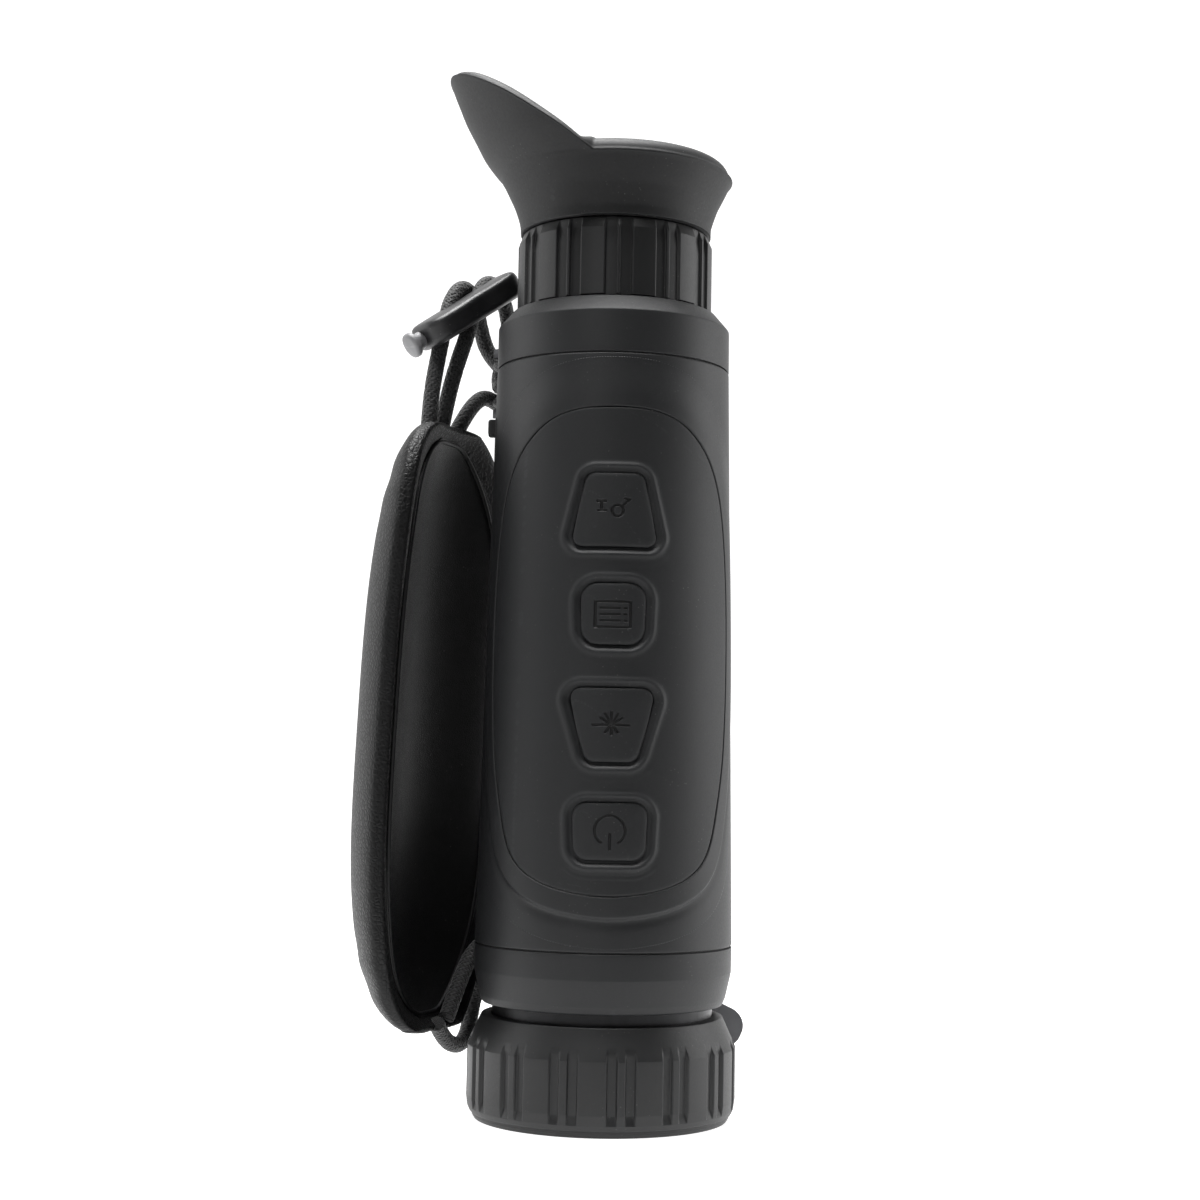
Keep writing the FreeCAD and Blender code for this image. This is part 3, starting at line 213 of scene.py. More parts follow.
def paint_mask(piece, name, values):
    """Stores a value per vertex under a name that a material reads."""
    layer = piece.data.attributes.new(name, "FLOAT", "POINT")
    layer.data.foreach_set("value", values.astype(np.float32).ravel())


def build_object(name, points, quads, triangles=(), uv=None):
    """Mesh object from points in millimetres, with its faces turned outwards and shaded smooth."""
    triangles = np.asarray(triangles, int).reshape(-1, 3)
    if signed_volume(points, quads, triangles) < 0:
        quads = quads[:, ::-1]
        triangles = triangles[:, ::-1]
    mesh = bpy.data.meshes.new(name)
    mesh.from_pydata((points * MM).tolist(), [], quads.tolist() + triangles.tolist())
    mesh.shade_smooth()
    if uv is not None:
        layer = mesh.uv_layers.new(name="along_and_round")
        corners = np.zeros(len(mesh.loops), int)
        mesh.loops.foreach_get("vertex_index", corners)
        layer.data.foreach_set("uv", uv[corners].astype(np.float32).ravel())
    mesh.update()
    piece = bpy.data.objects.new(name, mesh)
    bpy.context.scene.collection.objects.link(piece)
    return piece


def finish_piece(piece, material, body, nodes=()):
    """Gives a piece its finish and its body, and hides the CAD nodes that it stands for."""
    piece.data.materials.clear()
    piece.data.materials.append(material)
    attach(piece, body)
    if nodes:
        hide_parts(*nodes)
    return piece


def closed_ring(name, radius, height, azimuth):
    """Ring-shaped skin: radius and height are (profile, azimuth) arrays, wrapped both ways."""
    points = np.stack([radius * np.cos(azimuth), radius * np.sin(azimuth), height], -1)
    rows, columns = radius.shape
    return build_object(name, points.reshape(-1, 3), grid_quads(rows, columns, True, True))


def closed_lump(name, grid, uv=None):
    """Closed skin from rows that wrap round, with the first and last rows closed by a centre point."""
    rows, columns = grid.shape[:2]
    points = np.concatenate([grid.reshape(-1, 3), grid[0].mean(0)[None], grid[-1].mean(0)[None]])
    quads = grid_quads(rows, columns, False, True)
    first = np.arange(columns)
    last = first + (rows - 1) * columns
    count = rows * columns
    ends = np.concatenate([fan(first, count, True), fan(last, count + 1, False)])
    if uv is not None:
        uv = np.concatenate([uv.reshape(-1, 2), uv[:1, 0], uv[-1:, 0]])
    return build_object(name, points, quads, ends, uv)


def rounded_loop(corners, step=1.2, arc_points=5):
    """Closed outline through (x, y, fillet) corners: each corner becomes an arc tangent to its two
    sides, and long straight stretches are divided evenly."""
    corner = np.array([c[:2] for c in corners], float)
    fillet = np.array([c[2] for c in corners], float)
    loop = []
    count = len(corner)
    for index in range(count):
        here, before, after = corner[index], corner[index - 1], corner[(index + 1) % count]
        back, ahead = before - here, after - here
        back_length, ahead_length = np.linalg.norm(back), np.linalg.norm(ahead)
        back, ahead = back / back_length, ahead / ahead_length
        half = 0.5 * math.acos(np.clip(back @ ahead, -0.9999, 0.9999))
        reach = min(fillet[index] / math.tan(half), 0.45 * back_length, 0.45 * ahead_length)
        if reach < 1e-6:
            arc = here[None]
        else:
            share = np.linspace(0, 1, arc_points)[:, None]
            start, end = here + back * reach, here + ahead * reach
            arc = (1 - share) ** 2 * start + 2 * share * (1 - share) * here + share ** 2 * end
        if loop:
            loop.append(straight(loop[-1][-1], arc[0], step))
        loop.append(arc)
    loop.append(straight(loop[-1][-1], loop[0][0], step))
    return np.concatenate(loop)


def straight(start, end, step):
    """Points strictly between two ends, evenly spaced by about one step."""
    count = max(1, int(np.linalg.norm(end - start) / step))
    share = (np.arange(1, count) / count)[:, None]
    return start + share * (end - start)


def run_along(line):
    """Length along a line of points, from 0 at the first."""
    return np.concatenate([[0], np.cumsum(np.linalg.norm(np.diff(line, axis=0), axis=1))])


def even_loop(points, count):
    """The same closed outline, resampled at evenly spaced points."""
    closed = np.concatenate([points, points[:1]])
    run = run_along(closed)
    at = np.linspace(0, run[-1], count, endpoint=False)
    return np.stack([np.interp(at, run, closed[:, axis]) for axis in range(closed.shape[1])], -1)


def lathe_skin(name, corners, columns=256, step=1.2, shape=None):
    """Ring-shaped skin turned round the optical axis from a filleted (radius, height, fillet) outline.
    shape(radius, height, azimuth) may change the radius, as grooves do."""
    loop = rounded_loop(corners, step)
    azimuth = np.linspace(0, FULL, columns, endpoint=False)
    radius = np.repeat(loop[:, :1], columns, 1)
    height = np.repeat(loop[:, 1:2], columns, 1)
    if shape:
        radius = shape(radius, height, azimuth[None])
    return closed_ring(name, radius, height, azimuth[None])


# ---------------------------------------------------------------- shader tools
def node_group(name, inputs, outputs):
    """Empty shader group with named sockets; returns the tree and its end nodes."""
    tree = bpy.data.node_groups.new(name, "ShaderNodeTree")
    for label, kind, value in inputs:
        socket = tree.interface.new_socket(label, in_out="INPUT", socket_type=kind)
        if value is not None:
            socket.default_value = value
    for label, kind in outputs:
        tree.interface.new_socket(label, in_out="OUTPUT", socket_type=kind)
    return tree, tree.nodes.new("NodeGroupInput"), tree.nodes.new("NodeGroupOutput")


def add_node(tree, kind, settings=None, **inputs):
    """Node with attributes from settings; each input is a value or a socket to link from."""
    node = tree.nodes.new(kind)
    for key, value in (settings or {}).items():
        setattr(node, key, value)
    for key, value in inputs.items():
        numbered = key[0] == "i" and key[1:].isdigit()
        target = node.inputs[int(key[1:]) if numbered else key.replace("_", " ")]
        if isinstance(value, bpy.types.NodeSocket):
            tree.links.new(value, target)
        else:
            target.default_value = value
    return node


def math_node(tree, operation, first, second=0.0):
    """Result of one arithmetic step on values or sockets."""
    return add_node(tree, "ShaderNodeMath", {"operation": operation}, i0=first, i1=second).outputs[0]


def map_range(tree, value, low, high, to_low=0.0, to_high=1.0):
    """Straight, clamped change of a value from one range to another."""
    node = add_node(tree, "ShaderNodeMapRange", {"clamp": True}, Value=value, From_Min=low, From_Max=high,
                    To_Min=to_low, To_Max=to_high)
    return node.outputs["Result"]


def mix_colour(tree, factor, first, second):
    """First colour at factor 0, second at factor 1."""
    node = tree.nodes.new("ShaderNodeMix")
    node.data_type = "RGBA"
    for index, value in ((0, factor), (6, first), (7, second)):
        if isinstance(value, bpy.types.NodeSocket):
            tree.links.new(value, node.inputs[index])
        else:
            node.inputs[index].default_value = value
    return node.outputs[2]


def moulded_grain_group():
    """Fine moulded texture: two noises of different size, as height and as slow mottling."""
    tree, start, end = node_group(
        "Moulded grain", [("Vector", "NodeSocketVector", None), ("Grain scale", "NodeSocketFloat", 2600.0),
                          ("Mottle scale", "NodeSocketFloat", 60.0)],
        [("Height", "NodeSocketFloat"), ("Mottle", "NodeSocketFloat")])
    fine = add_node(tree, "ShaderNodeTexNoise", None, Vector=start.outputs["Vector"],
                    Scale=start.outputs["Grain scale"], Detail=3.0, Roughness=0.6)
    slow = add_node(tree, "ShaderNodeTexNoise", None, Vector=start.outputs["Vector"],
                    Scale=start.outputs["Mottle scale"], Detail=4.0, Roughness=0.55)
    tree.links.new(fine.outputs["Fac"], end.inputs["Height"])
    tree.links.new(map_range(tree, slow.outputs["Fac"], 0.3, 0.7), end.inputs["Mottle"])
    return tree


def edge_highlight_group():
    """Mask of convex edges, broken up by noise, where a painted highlight lightens the colour."""
    tree, start, end = node_group(
        "Edge polish", [("Vector", "NodeSocketVector", None), ("Low", "NodeSocketFloat", 0.51),
                        ("High", "NodeSocketFloat", 0.56)], [("Mask", "NodeSocketFloat")])
    shape = tree.nodes.new("ShaderNodeNewGeometry")
    edge = map_range(tree, shape.outputs["Pointiness"], start.outputs["Low"], start.outputs["High"])
    noise = add_node(tree, "ShaderNodeTexNoise", None, Vector=start.outputs["Vector"], Scale=240.0, Detail=3.0)
    broken = map_range(tree, noise.outputs["Fac"], 0.35, 0.65, 0.35, 1.0)
    tree.links.new(math_node(tree, "MULTIPLY", edge, broken), end.inputs["Mask"])
    return tree


def dust_group():
    """Sparse pale specks: the highest cells of a fine Voronoi pattern, thinned by noise."""
    tree, start, end = node_group(
        "Dust specks", [("Vector", "NodeSocketVector", None), ("Scale", "NodeSocketFloat", 900.0),
                        ("Amount", "NodeSocketFloat", 0.12)], [("Mask", "NodeSocketFloat")])
    cells = add_node(tree, "ShaderNodeTexVoronoi", None, Vector=start.outputs["Vector"],
                     Scale=start.outputs["Scale"], Randomness=1.0)
    speck = map_range(tree, cells.outputs["Distance"], 0.10, 0.16, 1.0, 0.0)
    noise = add_node(tree, "ShaderNodeTexNoise", None, Vector=start.outputs["Vector"], Scale=130.0, Detail=2.0)
    patch = map_range(tree, noise.outputs["Fac"], 0.52, 0.70)
    both = math_node(tree, "MULTIPLY", speck, patch)
    tree.links.new(math_node(tree, "MULTIPLY", both, start.outputs["Amount"]), end.inputs["Mask"])
    return tree


def leather_group():
    """Leather grain: rounded pebbles between the creases of a Voronoi pattern bent by noise, and a mask of the
    creases for painted shade.
    """
    tree, start, end = node_group(
        "Leather grain", [("Vector", "NodeSocketVector", None), ("Pebble scale", "NodeSocketFloat", 900.0)],
        [("Height", "NodeSocketFloat"), ("Crease", "NodeSocketFloat"), ("Mottle", "NodeSocketFloat")])
    bend = add_node(tree, "ShaderNodeTexNoise", None, Vector=start.outputs["Vector"], Scale=420.0, Detail=2.0)
    shift = add_node(tree, "ShaderNodeVectorMath", {"operation": "SCALE"}, i0=bend.outputs["Color"],
                     Scale=0.0011)
    bent = add_node(tree, "ShaderNodeVectorMath", {"operation": "ADD"}, i0=start.outputs["Vector"],
                    i1=shift.outputs[0])
    cells = add_node(tree, "ShaderNodeTexVoronoi", {"feature": "DISTANCE_TO_EDGE"}, Vector=bent.outputs[0],
                     Scale=start.outputs["Pebble scale"])
    pebble = map_range(tree, cells.outputs["Distance"], 0.0, 0.28)
    slow = add_node(tree, "ShaderNodeTexNoise", None, Vector=start.outputs["Vector"], Scale=75.0, Detail=5.0)
    tree.links.new(pebble, end.inputs["Height"])
    # Painted shade mask: 1 in the creases between pebbles, 0 on their tops.
    tree.links.new(map_range(tree, cells.outputs["Distance"], 0.0, 0.08, 1.0, 0.0), end.inputs["Crease"])
    tree.links.new(map_range(tree, slow.outputs["Fac"], 0.3, 0.7), end.inputs["Mottle"])
    return tree


def braid_group():
    """Braided cord: two crossing sets of diagonal strands over the along-and-round map, with their height,
    mottled by fibre noise, as a mask for painted shade and highlight.
    """
    tree, start, end = node_group(
        "Cord braid", [("Vector", "NodeSocketVector", None), ("Strands", "NodeSocketFloat", 8.0),
                       ("Pitch", "NodeSocketFloat", 8.0)],
        [("Height", "NodeSocketFloat"), ("Shade", "NodeSocketFloat")])
    parts = add_node(tree, "ShaderNodeSeparateXYZ", None, Vector=start.outputs["Vector"])
    along = math_node(tree, "MULTIPLY", parts.outputs[0], start.outputs["Pitch"])
    around = math_node(tree, "MULTIPLY", parts.outputs[1], start.outputs["Strands"])
    waves = []
    for operation in ("ADD", "SUBTRACT"):
        turn = math_node(tree, operation, along, around)
        wave = math_node(tree, "SINE", math_node(tree, "MULTIPLY", turn, math.pi))
        waves.append(math_node(tree, "ABSOLUTE", wave))
    height = math_node(tree, "MAXIMUM", waves[0], waves[1])
    fibre = add_node(tree, "ShaderNodeTexNoise", None, Vector=start.outputs["Vector"], Scale=60.0, Detail=3.0)
    tree.links.new(height, end.inputs["Height"])
    # Strand height times fibre noise: a mask for painted shade and highlight, partly a real random fibre tone.
    tree.links.new(math_node(tree, "MULTIPLY", height, fibre.outputs["Fac"]), end.inputs["Shade"])
    return tree


GROUPS = {}


def group(name):
    """The shared shader group of that name, built the first time."""
    makers = {"grain": moulded_grain_group, "polish": edge_highlight_group, "dust": dust_group,
              "leather": leather_group, "braid": braid_group}
    if name not in GROUPS:
        GROUPS[name] = makers[name]()
    return GROUPS[name]


def use_group(tree, name, vector, **values):
    """A shared group placed in a material with the material's own values."""
    node = tree.nodes.new("ShaderNodeGroup")
    node.node_tree = group(name)
    tree.links.new(vector, node.inputs["Vector"])
    for key, value in values.items():
        node.inputs[key.replace("_", " ")].default_value = value
    return node


def blank_material(name):
    """New material with its tree, its shader and a texture coordinate node."""
    material = bpy.data.materials.new(name)
    material.use_nodes = True
    tree = material.node_tree
    shader = tree.nodes["Principled BSDF"]
    place = tree.nodes.new("ShaderNodeTexCoord")
    return material, tree, shader, place


def link_bump(tree, shader, height, distance):
    """Fine relief of a given depth in metres."""
    bump = add_node(tree, "ShaderNodeBump", None, Height=height, Distance=distance, Strength=1.0)
    tree.links.new(bump.outputs["Normal"], shader.inputs["Normal"])


def shade_of(colour, factor):
    """The colour made lighter or darker, with its alpha."""
    return [min(1.0, c * factor) for c in colour] + [1.0]


def moulded(name, colour, roughness, grain_scale, grain_depth, mottle, polish, dust,
            metallic=0.0, specular=0.5, coat=0.0, symbol=None):
    """Moulded or coated part: mottled colour, a painted highlight on convex edges, a little dust, a fine grain,
    and painted shade in pressed-in symbol strokes when a symbol colour is given.
    """
    material, tree, shader, place = blank_material(name)
    vector = place.outputs["Object"]
    grain = use_group(tree, "grain", vector, Grain_scale=grain_scale)
    edge_lit = use_group(tree, "polish", vector)
    specks = use_group(tree, "dust", vector, Amount=dust)
    base = mix_colour(tree, grain.outputs["Mottle"], shade_of(colour, 1 - mottle), shade_of(colour, 1 + mottle))
    # Painted highlight: convex edges are mixed towards a lighter copy of the colour, as if they caught the
    # light.
    highlighted = mix_colour(tree, math_node(tree, "MULTIPLY", edge_lit.outputs["Mask"], polish), base,
                       [min(1.0, c * 2.2 + 0.004) for c in colour] + [1.0])
    dust_and_painted_light = mix_colour(tree, specks.outputs["Mask"], highlighted, (0.30, 0.29, 0.28, 1.0))
    # Painted shade: the pressed-in symbol strokes are painted darker, as if shade fell in them.
    if symbol:
        mask = add_node(tree, "ShaderNodeAttribute", {"attribute_name": "symbol"}).outputs["Fac"]
        dust_and_painted_light = mix_colour(tree, mask, dust_and_painted_light, [*symbol, 1.0])
    tree.links.new(dust_and_painted_light, shader.inputs["Base Color"])
    rough = map_range(tree, grain.outputs["Height"], 0.25, 0.75, roughness - 0.05, roughness + 0.06)
    tree.links.new(rough, shader.inputs["Roughness"])
    shader.inputs["Metallic"].default_value = metallic
    shader.inputs["Specular IOR Level"].default_value = specular
    shader.inputs["Coat Weight"].default_value = coat
    shader.inputs["Coat Roughness"].default_value = 0.25
    link_bump(tree, shader, grain.outputs["Height"], grain_depth)
    return material


def leatherette(name, colour, pebble_scale, depth, roughness):
    """Grained artificial leather: pebbled relief, painted shade darkening the creases, and a low sheen."""
    material, tree, shader, place = blank_material(name)
    vector = place.outputs["Object"]
    skin = use_group(tree, "leather", vector, Pebble_scale=pebble_scale)
    specks = use_group(tree, "dust", vector, Amount=0.10, Scale=700.0)
    base = mix_colour(tree, skin.outputs["Mottle"], shade_of(colour, 0.75), shade_of(colour, 1.3))
    # Painted shade: the creases between pebbles are darkened as if shade fell in them.
    crease_shaded = mix_colour(tree, skin.outputs["Crease"], base, shade_of(colour, 0.45))
    dust_and_painted_light = mix_colour(tree, specks.outputs["Mask"], crease_shaded, (0.25, 0.24, 0.23, 1))
    tree.links.new(dust_and_painted_light, shader.inputs["Base Color"])
    rough = map_range(tree, skin.outputs["Height"], 0.0, 1.0, roughness + 0.15, roughness)
    tree.links.new(rough, shader.inputs["Roughness"])
    shader.inputs["Specular IOR Level"].default_value = 0.30
    link_bump(tree, shader, skin.outputs["Height"], depth)
    return material


def braided(name, colour, strands, pitch):
    """Braided polyester over the along-and-round map, painted darker between the strands and lighter on their
    crowns.
    """
    material, tree, shader, place = blank_material(name)
    weave = use_group(tree, "braid", place.outputs["UV"], Strands=strands, Pitch=pitch)
    # Painted shade and highlight: dark between the strands, light on their crowns, with a random fibre tone.
    base = mix_colour(tree, weave.outputs["Shade"], shade_of(colour, 0.5), shade_of(colour, 2.6))
    tree.links.new(base, shader.inputs["Base Color"])
    rough = map_range(tree, weave.outputs["Height"], 0.0, 1.0, 0.85, 0.6)
    tree.links.new(rough, shader.inputs["Roughness"])
    shader.inputs["Sheen Weight"].default_value = 0.25
    link_bump(tree, shader, weave.outputs["Height"], 0.00018)
    return material


def coated_glass(name, tint):
    """Lens glass with a coloured coating whose tint shifts slowly over the surface."""
    material, tree, shader, place = blank_material(name)
    slow = add_node(tree, "ShaderNodeTexNoise", None, Vector=place.outputs["Object"], Scale=18.0, Detail=1.0)
    base = mix_colour(tree, slow.outputs["Fac"], shade_of(tint, 0.8), shade_of(tint, 1.15))
    tree.links.new(base, shader.inputs["Base Color"])
    shader.inputs["Roughness"].default_value = 0.03
    shader.inputs["Transmission Weight"].default_value = 0.35
    shader.inputs["IOR"].default_value = 1.52
    shader.inputs["Coat Weight"].default_value = 0.8
    shader.inputs["Coat Roughness"].default_value = 0.02
    return material


MATERIALS = {}


# label, colour (or the setting that holds it), roughness, grain scale, grain depth, mottle, painted edge
# highlight, dust, and what else the shader needs
MOULDED = {
    "soft_touch": ("Soft-touch coating", "shell_colour", 0.50, 2400, 0.000010, 0.10, 0.35, 0.10,
                   {"specular": 0.42}),
    "silicone": ("Moulded silicone", "keypad_colour", 0.56, 3000, 0.000008, 0.08, 0.45, 0.10,
                 {"specular": 0.40}),
    # The symbol colour below is painted shade in the pressed-in strokes.
    "marked_silicone": ("Marked silicone", "keypad_colour", 0.56, 3000, 0.000008, 0.08, 0.45, 0.10,
                        {"specular": 0.40, "symbol": (0.0012, 0.0012, 0.0013)}),
    "ribbed_nylon": ("Ribbed nylon", "grip_colour", 0.46, 2200, 0.000012, 0.15, 0.8, 0.12, {}),
    "cup_rubber": ("Eyecup rubber", "rubber_colour", 0.60, 1800, 0.000014, 0.12, 0.5, 0.14, {"specular": 0.4}),
    "cap_rubber": ("Cap rubber", (0.075, 0.075, 0.080), 0.62, 1500, 0.00002, 0.15, 0.3, 0.2, {}),
    "lock_nylon": ("Lock nylon", (0.012, 0.012, 0.013), 0.42, 1500, 0.00003, 0.2, 0.8, 0.25, {}),
    # The light grey plunger colour is a painted reflection.
    "grey_nylon": ("Grey nylon", (0.16, 0.16, 0.165), 0.45, 1500, 0.00003, 0.15, 0.4, 0.2, {}),
    "black_anodised": ("Black anodised", (0.010, 0.010, 0.011), 0.38, 3000, 0.000006, 0.1, 0.5, 0.05,
                       {"metallic": 0.6}),
    "black_steel": ("Blackened steel", (0.03, 0.03, 0.032), 0.4, 1800, 0.00001, 0.2, 0.9, 0.05,
                    {"metallic": 0.9}),
    "cast_alloy": ("Cast alloy", (0.42, 0.43, 0.45), 0.5, 900, 0.00003, 0.1, 0.3, 0.02, {"metallic": 1.0}),
    "steel": ("Satin steel", (0.5, 0.5, 0.52), 0.3, 1500, 0.00001, 0.08, 0.3, 0.02, {"metallic": 1.0}),
    "brass": ("Turned brass", (0.62, 0.44, 0.20), 0.3, 1500, 0.00001, 0.1, 0.3, 0.02, {"metallic": 1.0}),
    "board": ("Solder mask", (0.01, 0.10, 0.04), 0.35, 700, 0.00002, 0.25, 0.2, 0.02, {"coat": 0.4}),
    "chip": ("Moulded package", (0.015, 0.015, 0.016), 0.5, 1500, 0.00001, 0.1, 0.2, 0.02, {}),
    "cell_sleeve": ("Cell sleeve", (0.02, 0.06, 0.22), 0.3, 300, 0.00001, 0.1, 0.2, 0.02, {"coat": 0.5}),
    "gasket": ("Gasket rubber", (0.006, 0.006, 0.006), 0.7, 1800, 0.00001, 0.1, 0.1, 0.02, {}),
}
MATERIALS = {}


def build_finish(name):
    """Builds a finish with its own kind of material."""
    s = bpy.context.scene.rangefinder
    if name == "leatherette":
        return leatherette("Grained leatherette", s.leather_colour, 1050.0, 0.00007, 0.42)
    if name == "lining":
        return leatherette("Smooth lining", (0.0045, 0.0045, 0.0048), 2300.0, 0.00002, 0.33)
    if name == "braid":
        return braided("Braided cord", s.cord_colour, 8.0, 1.0)
    if name == "string":
        return braided("Twisted string", (0.008, 0.008, 0.008), 4.0, 1.0)
    if name == "glass":
        return coated_glass("Coated glass", (0.10, 0.07, 0.14))
    label, colour, *values, extras = MOULDED[name]
    colour = getattr(s, colour) if isinstance(colour, str) else colour
    return moulded(label, colour, *values, **extras)


def finish_named(name):
    """The finish of that name, built the first time."""
    if name not in MATERIALS:
        MATERIALS[name] = build_finish(name)
    return MATERIALS[name]


SLOT_FINISH = {
    "shell": "soft_touch", "keypad": "silicone", "grip": "ribbed_nylon", "cup_rubber": "cup_rubber",
    "leatherette": "leatherette", "cord": "braid", "lock_plastic": "lock_nylon",
    "plunger_plastic": "grey_nylon",
    "cap_rubber": "cap_rubber", "anodised": "black_anodised", "alloy": "cast_alloy", "steel": "steel",
    "black_steel": "black_steel", "brass": "brass", "lens_glass": "glass", "board": "board", "chip": "chip",
    "cell": "cell_sleeve", "seal": "gasket",
}


# ---------------------------------------------------------------- housing shape
def shell_radius(height):
    """Straight taper from the front radius to the rear radius."""
    share = (height - BODY_BOTTOM) / (BODY_TOP - BODY_BOTTOM)
    return BODY_FRONT_RADIUS + share * (BODY_REAR_RADIUS - BODY_FRONT_RADIUS)


def panel_outline(count):
    """Panel edge as (azimuth from the front, height): a closed smooth curve through the edge's points,
    mirrored left and right, from a periodic cubic (Catmull-Rom), then spaced evenly."""
    right = np.array(PANEL_EDGE)
    left = right[-2:0:-1] * [-1, 1]
    knots = np.concatenate([right, left])
    knots = np.stack([np.arcsin(knots[:, 0] / shell_radius(knots[:, 1])), knots[:, 1]], -1)
    share = np.linspace(0, 1, 12, endpoint=False)[None, :, None]
    a, b, c, d = (np.roll(knots, shift, 0)[:, None] for shift in (1, 0, -1, -2))
    curve = 0.5 * (2 * b + (c - a) * share + (2 * a - 5 * b + 4 * c - d) * share ** 2
                   + (3 * b - a - 3 * c + d) * share ** 3)
    curve = curve.reshape(-1, 2)
    flat = curve * [UNROLL_RADIUS, 1]
    return even_loop(flat, count) / [UNROLL_RADIUS, 1]


def outline_distance(azimuth, height, outline):
    """Signed distance in millimetres from the panel's edge over the unrolled surface, negative inside."""
    points = np.stack([azimuth * UNROLL_RADIUS, height], -1).reshape(-1, 2)
    loop = outline * [UNROLL_RADIUS, 1]
    after = np.roll(loop, -1, 0)
    nearest = np.full(len(points), 1e9)
    inside = np.zeros(len(points), bool)
    for start, end in zip(loop, after):
        side = end - start
        to = points - start
        share = np.clip((to @ side) / (side @ side), 0, 1)
        nearest = np.minimum(nearest, ((to - share[:, None] * side) ** 2).sum(1))
        crosses = (start[1] > points[:, 1]) != (end[1] > points[:, 1])
        with np.errstate(divide="ignore", invalid="ignore"):
            where = start[0] + (points[:, 1] - start[1]) / (end[1] - start[1]) * side[0]
        inside ^= crosses & (points[:, 0] < where)
    distance = np.sqrt(nearest) * np.where(inside, -1, 1)
    return distance.reshape(azimuth.shape)


def saddle_height(distance, height):
    """Raised land round the panel: full height next to it, stepping down about 4.5 mm out. The step is
    crisp and slightly undercut below, and softens upwards into the taper."""
    soft = smoothstep(60.0, 100.0, height)
    start = 4.0 - 2.0 * soft
    width = 0.9 + 7.5 * soft
    land = SADDLE_RISE * (1 - smoothstep(start, start + width, distance))
    dip = -0.16 * (1 - soft) * np.exp(-((distance - start - width - 0.5) / 1.1) ** 2)
    return land + dip


def front_surface(azimuth, height, rise):
    """Point at an azimuth from the front, a height, and a rise above the taper."""
    radius = shell_radius(height) + rise
    return np.stack([radius * np.sin(azimuth), -radius * np.cos(azimuth), height], -1)


def make_housing_skin():
    """Tapered tube with the saddle's relief: rows climb the outside, turn over the top and come down
    the inside. Under the panel the outside sinks, where the land and the keypad cover it."""
    outline = panel_outline(240)
    columns = 280
    azimuth = np.linspace(-math.pi, math.pi, columns, endpoint=False)
    rounding = 0.35
    pocket_edge, pocket_depth = 3.2, 1.6
    heights = np.linspace(BODY_BOTTOM + rounding, BODY_TOP - rounding, 236)
    a, z = np.meshgrid(azimuth, heights)
    distance = outline_distance(a, z, outline)
    sunk = -pocket_depth * (1 - smoothstep(0.2, pocket_edge, distance))
    outer = shell_radius(z) + np.where(distance > pocket_edge, saddle_height(distance, z), SADDLE_RISE + sunk)
    tops = [(-0.02, BODY_TOP - 0.2), (-0.12, BODY_TOP - 0.05), (-0.35, BODY_TOP), (-WALL, BODY_TOP)]
    lows = [(-WALL, BODY_BOTTOM), (-0.35, BODY_BOTTOM), (-0.12, BODY_BOTTOM + 0.05), (-0.02, BODY_BOTTOM + 0.2)]
    ends = np.repeat(np.array(tops + lows)[:, :, None], columns, 2)
    radius = np.concatenate([outer, shell_radius(ends[:, 1]) + ends[:, 0]])
    level = np.concatenate([z, ends[:, 1]])
    piece = closed_ring("housing_skin", radius, level, azimuth[None] - math.pi / 2)
    return finish_piece(piece, finish_named("soft_touch"), "housing", ["body_shell"])


def make_saddle_land():
    """Strip round the panel, laid along its edge: from inside the panel's pocket, over the rounded
    edge of the land, out to where it lies on the housing."""
    outline = panel_outline(560)
    flat = outline * [UNROLL_RADIUS, 1]
    tangent = np.roll(flat, -1, 0) - np.roll(flat, 1, 0)
    tangent /= np.linalg.norm(tangent, axis=1)[:, None]
    outward = np.stack([-tangent[:, 1], tangent[:, 0]], -1)
    outward *= np.sign(((flat - [0, PANEL_MIDDLE]) * outward).sum(1))[:, None]
    across = np.concatenate([[-1.0, -0.25, -0.02, 0.0], [0.05, 0.14, 0.28], np.linspace(0.5, 10.5, 52)])
    drop = np.concatenate([[-1.5, -1.5, -1.4, -0.30], [-0.12, -0.03, 0.0], np.zeros(52)])
    where = flat[None] + across[:, None, None] * outward[None]
    azimuth, height = where[..., 0] / UNROLL_RADIUS, where[..., 1]
    distance = np.maximum(np.repeat(across[:, None], len(flat), 1), 0)
    rise = saddle_height(distance, height) + drop[:, None] + 0.02 * (1 - smoothstep(8.5, 10.5, distance))
    top = front_surface(azimuth, height, rise)
    under = front_surface(azimuth[::-1], height[::-1], np.minimum(rise[::-1], 0) - 0.35)
    grid = np.concatenate([top, under])
    rows, columns = grid.shape[:2]
    piece = build_object("saddle_land", grid.reshape(-1, 3), grid_quads(rows, columns, True, True))
    return finish_piece(piece, finish_named("soft_touch"), "housing")


def key_corners(name, grow=0.0):
    """The key's four corners, anticlockwise from the lower left, moved out by grow."""
    centre, top, bottom, tall = KEYS[name]
    half = tall / 2 + grow
    return np.array([(-bottom / 2 - grow, centre - half), (bottom / 2 + grow, centre - half),
                     (top / 2 + grow, centre + half), (-top / 2 - grow, centre + half)])


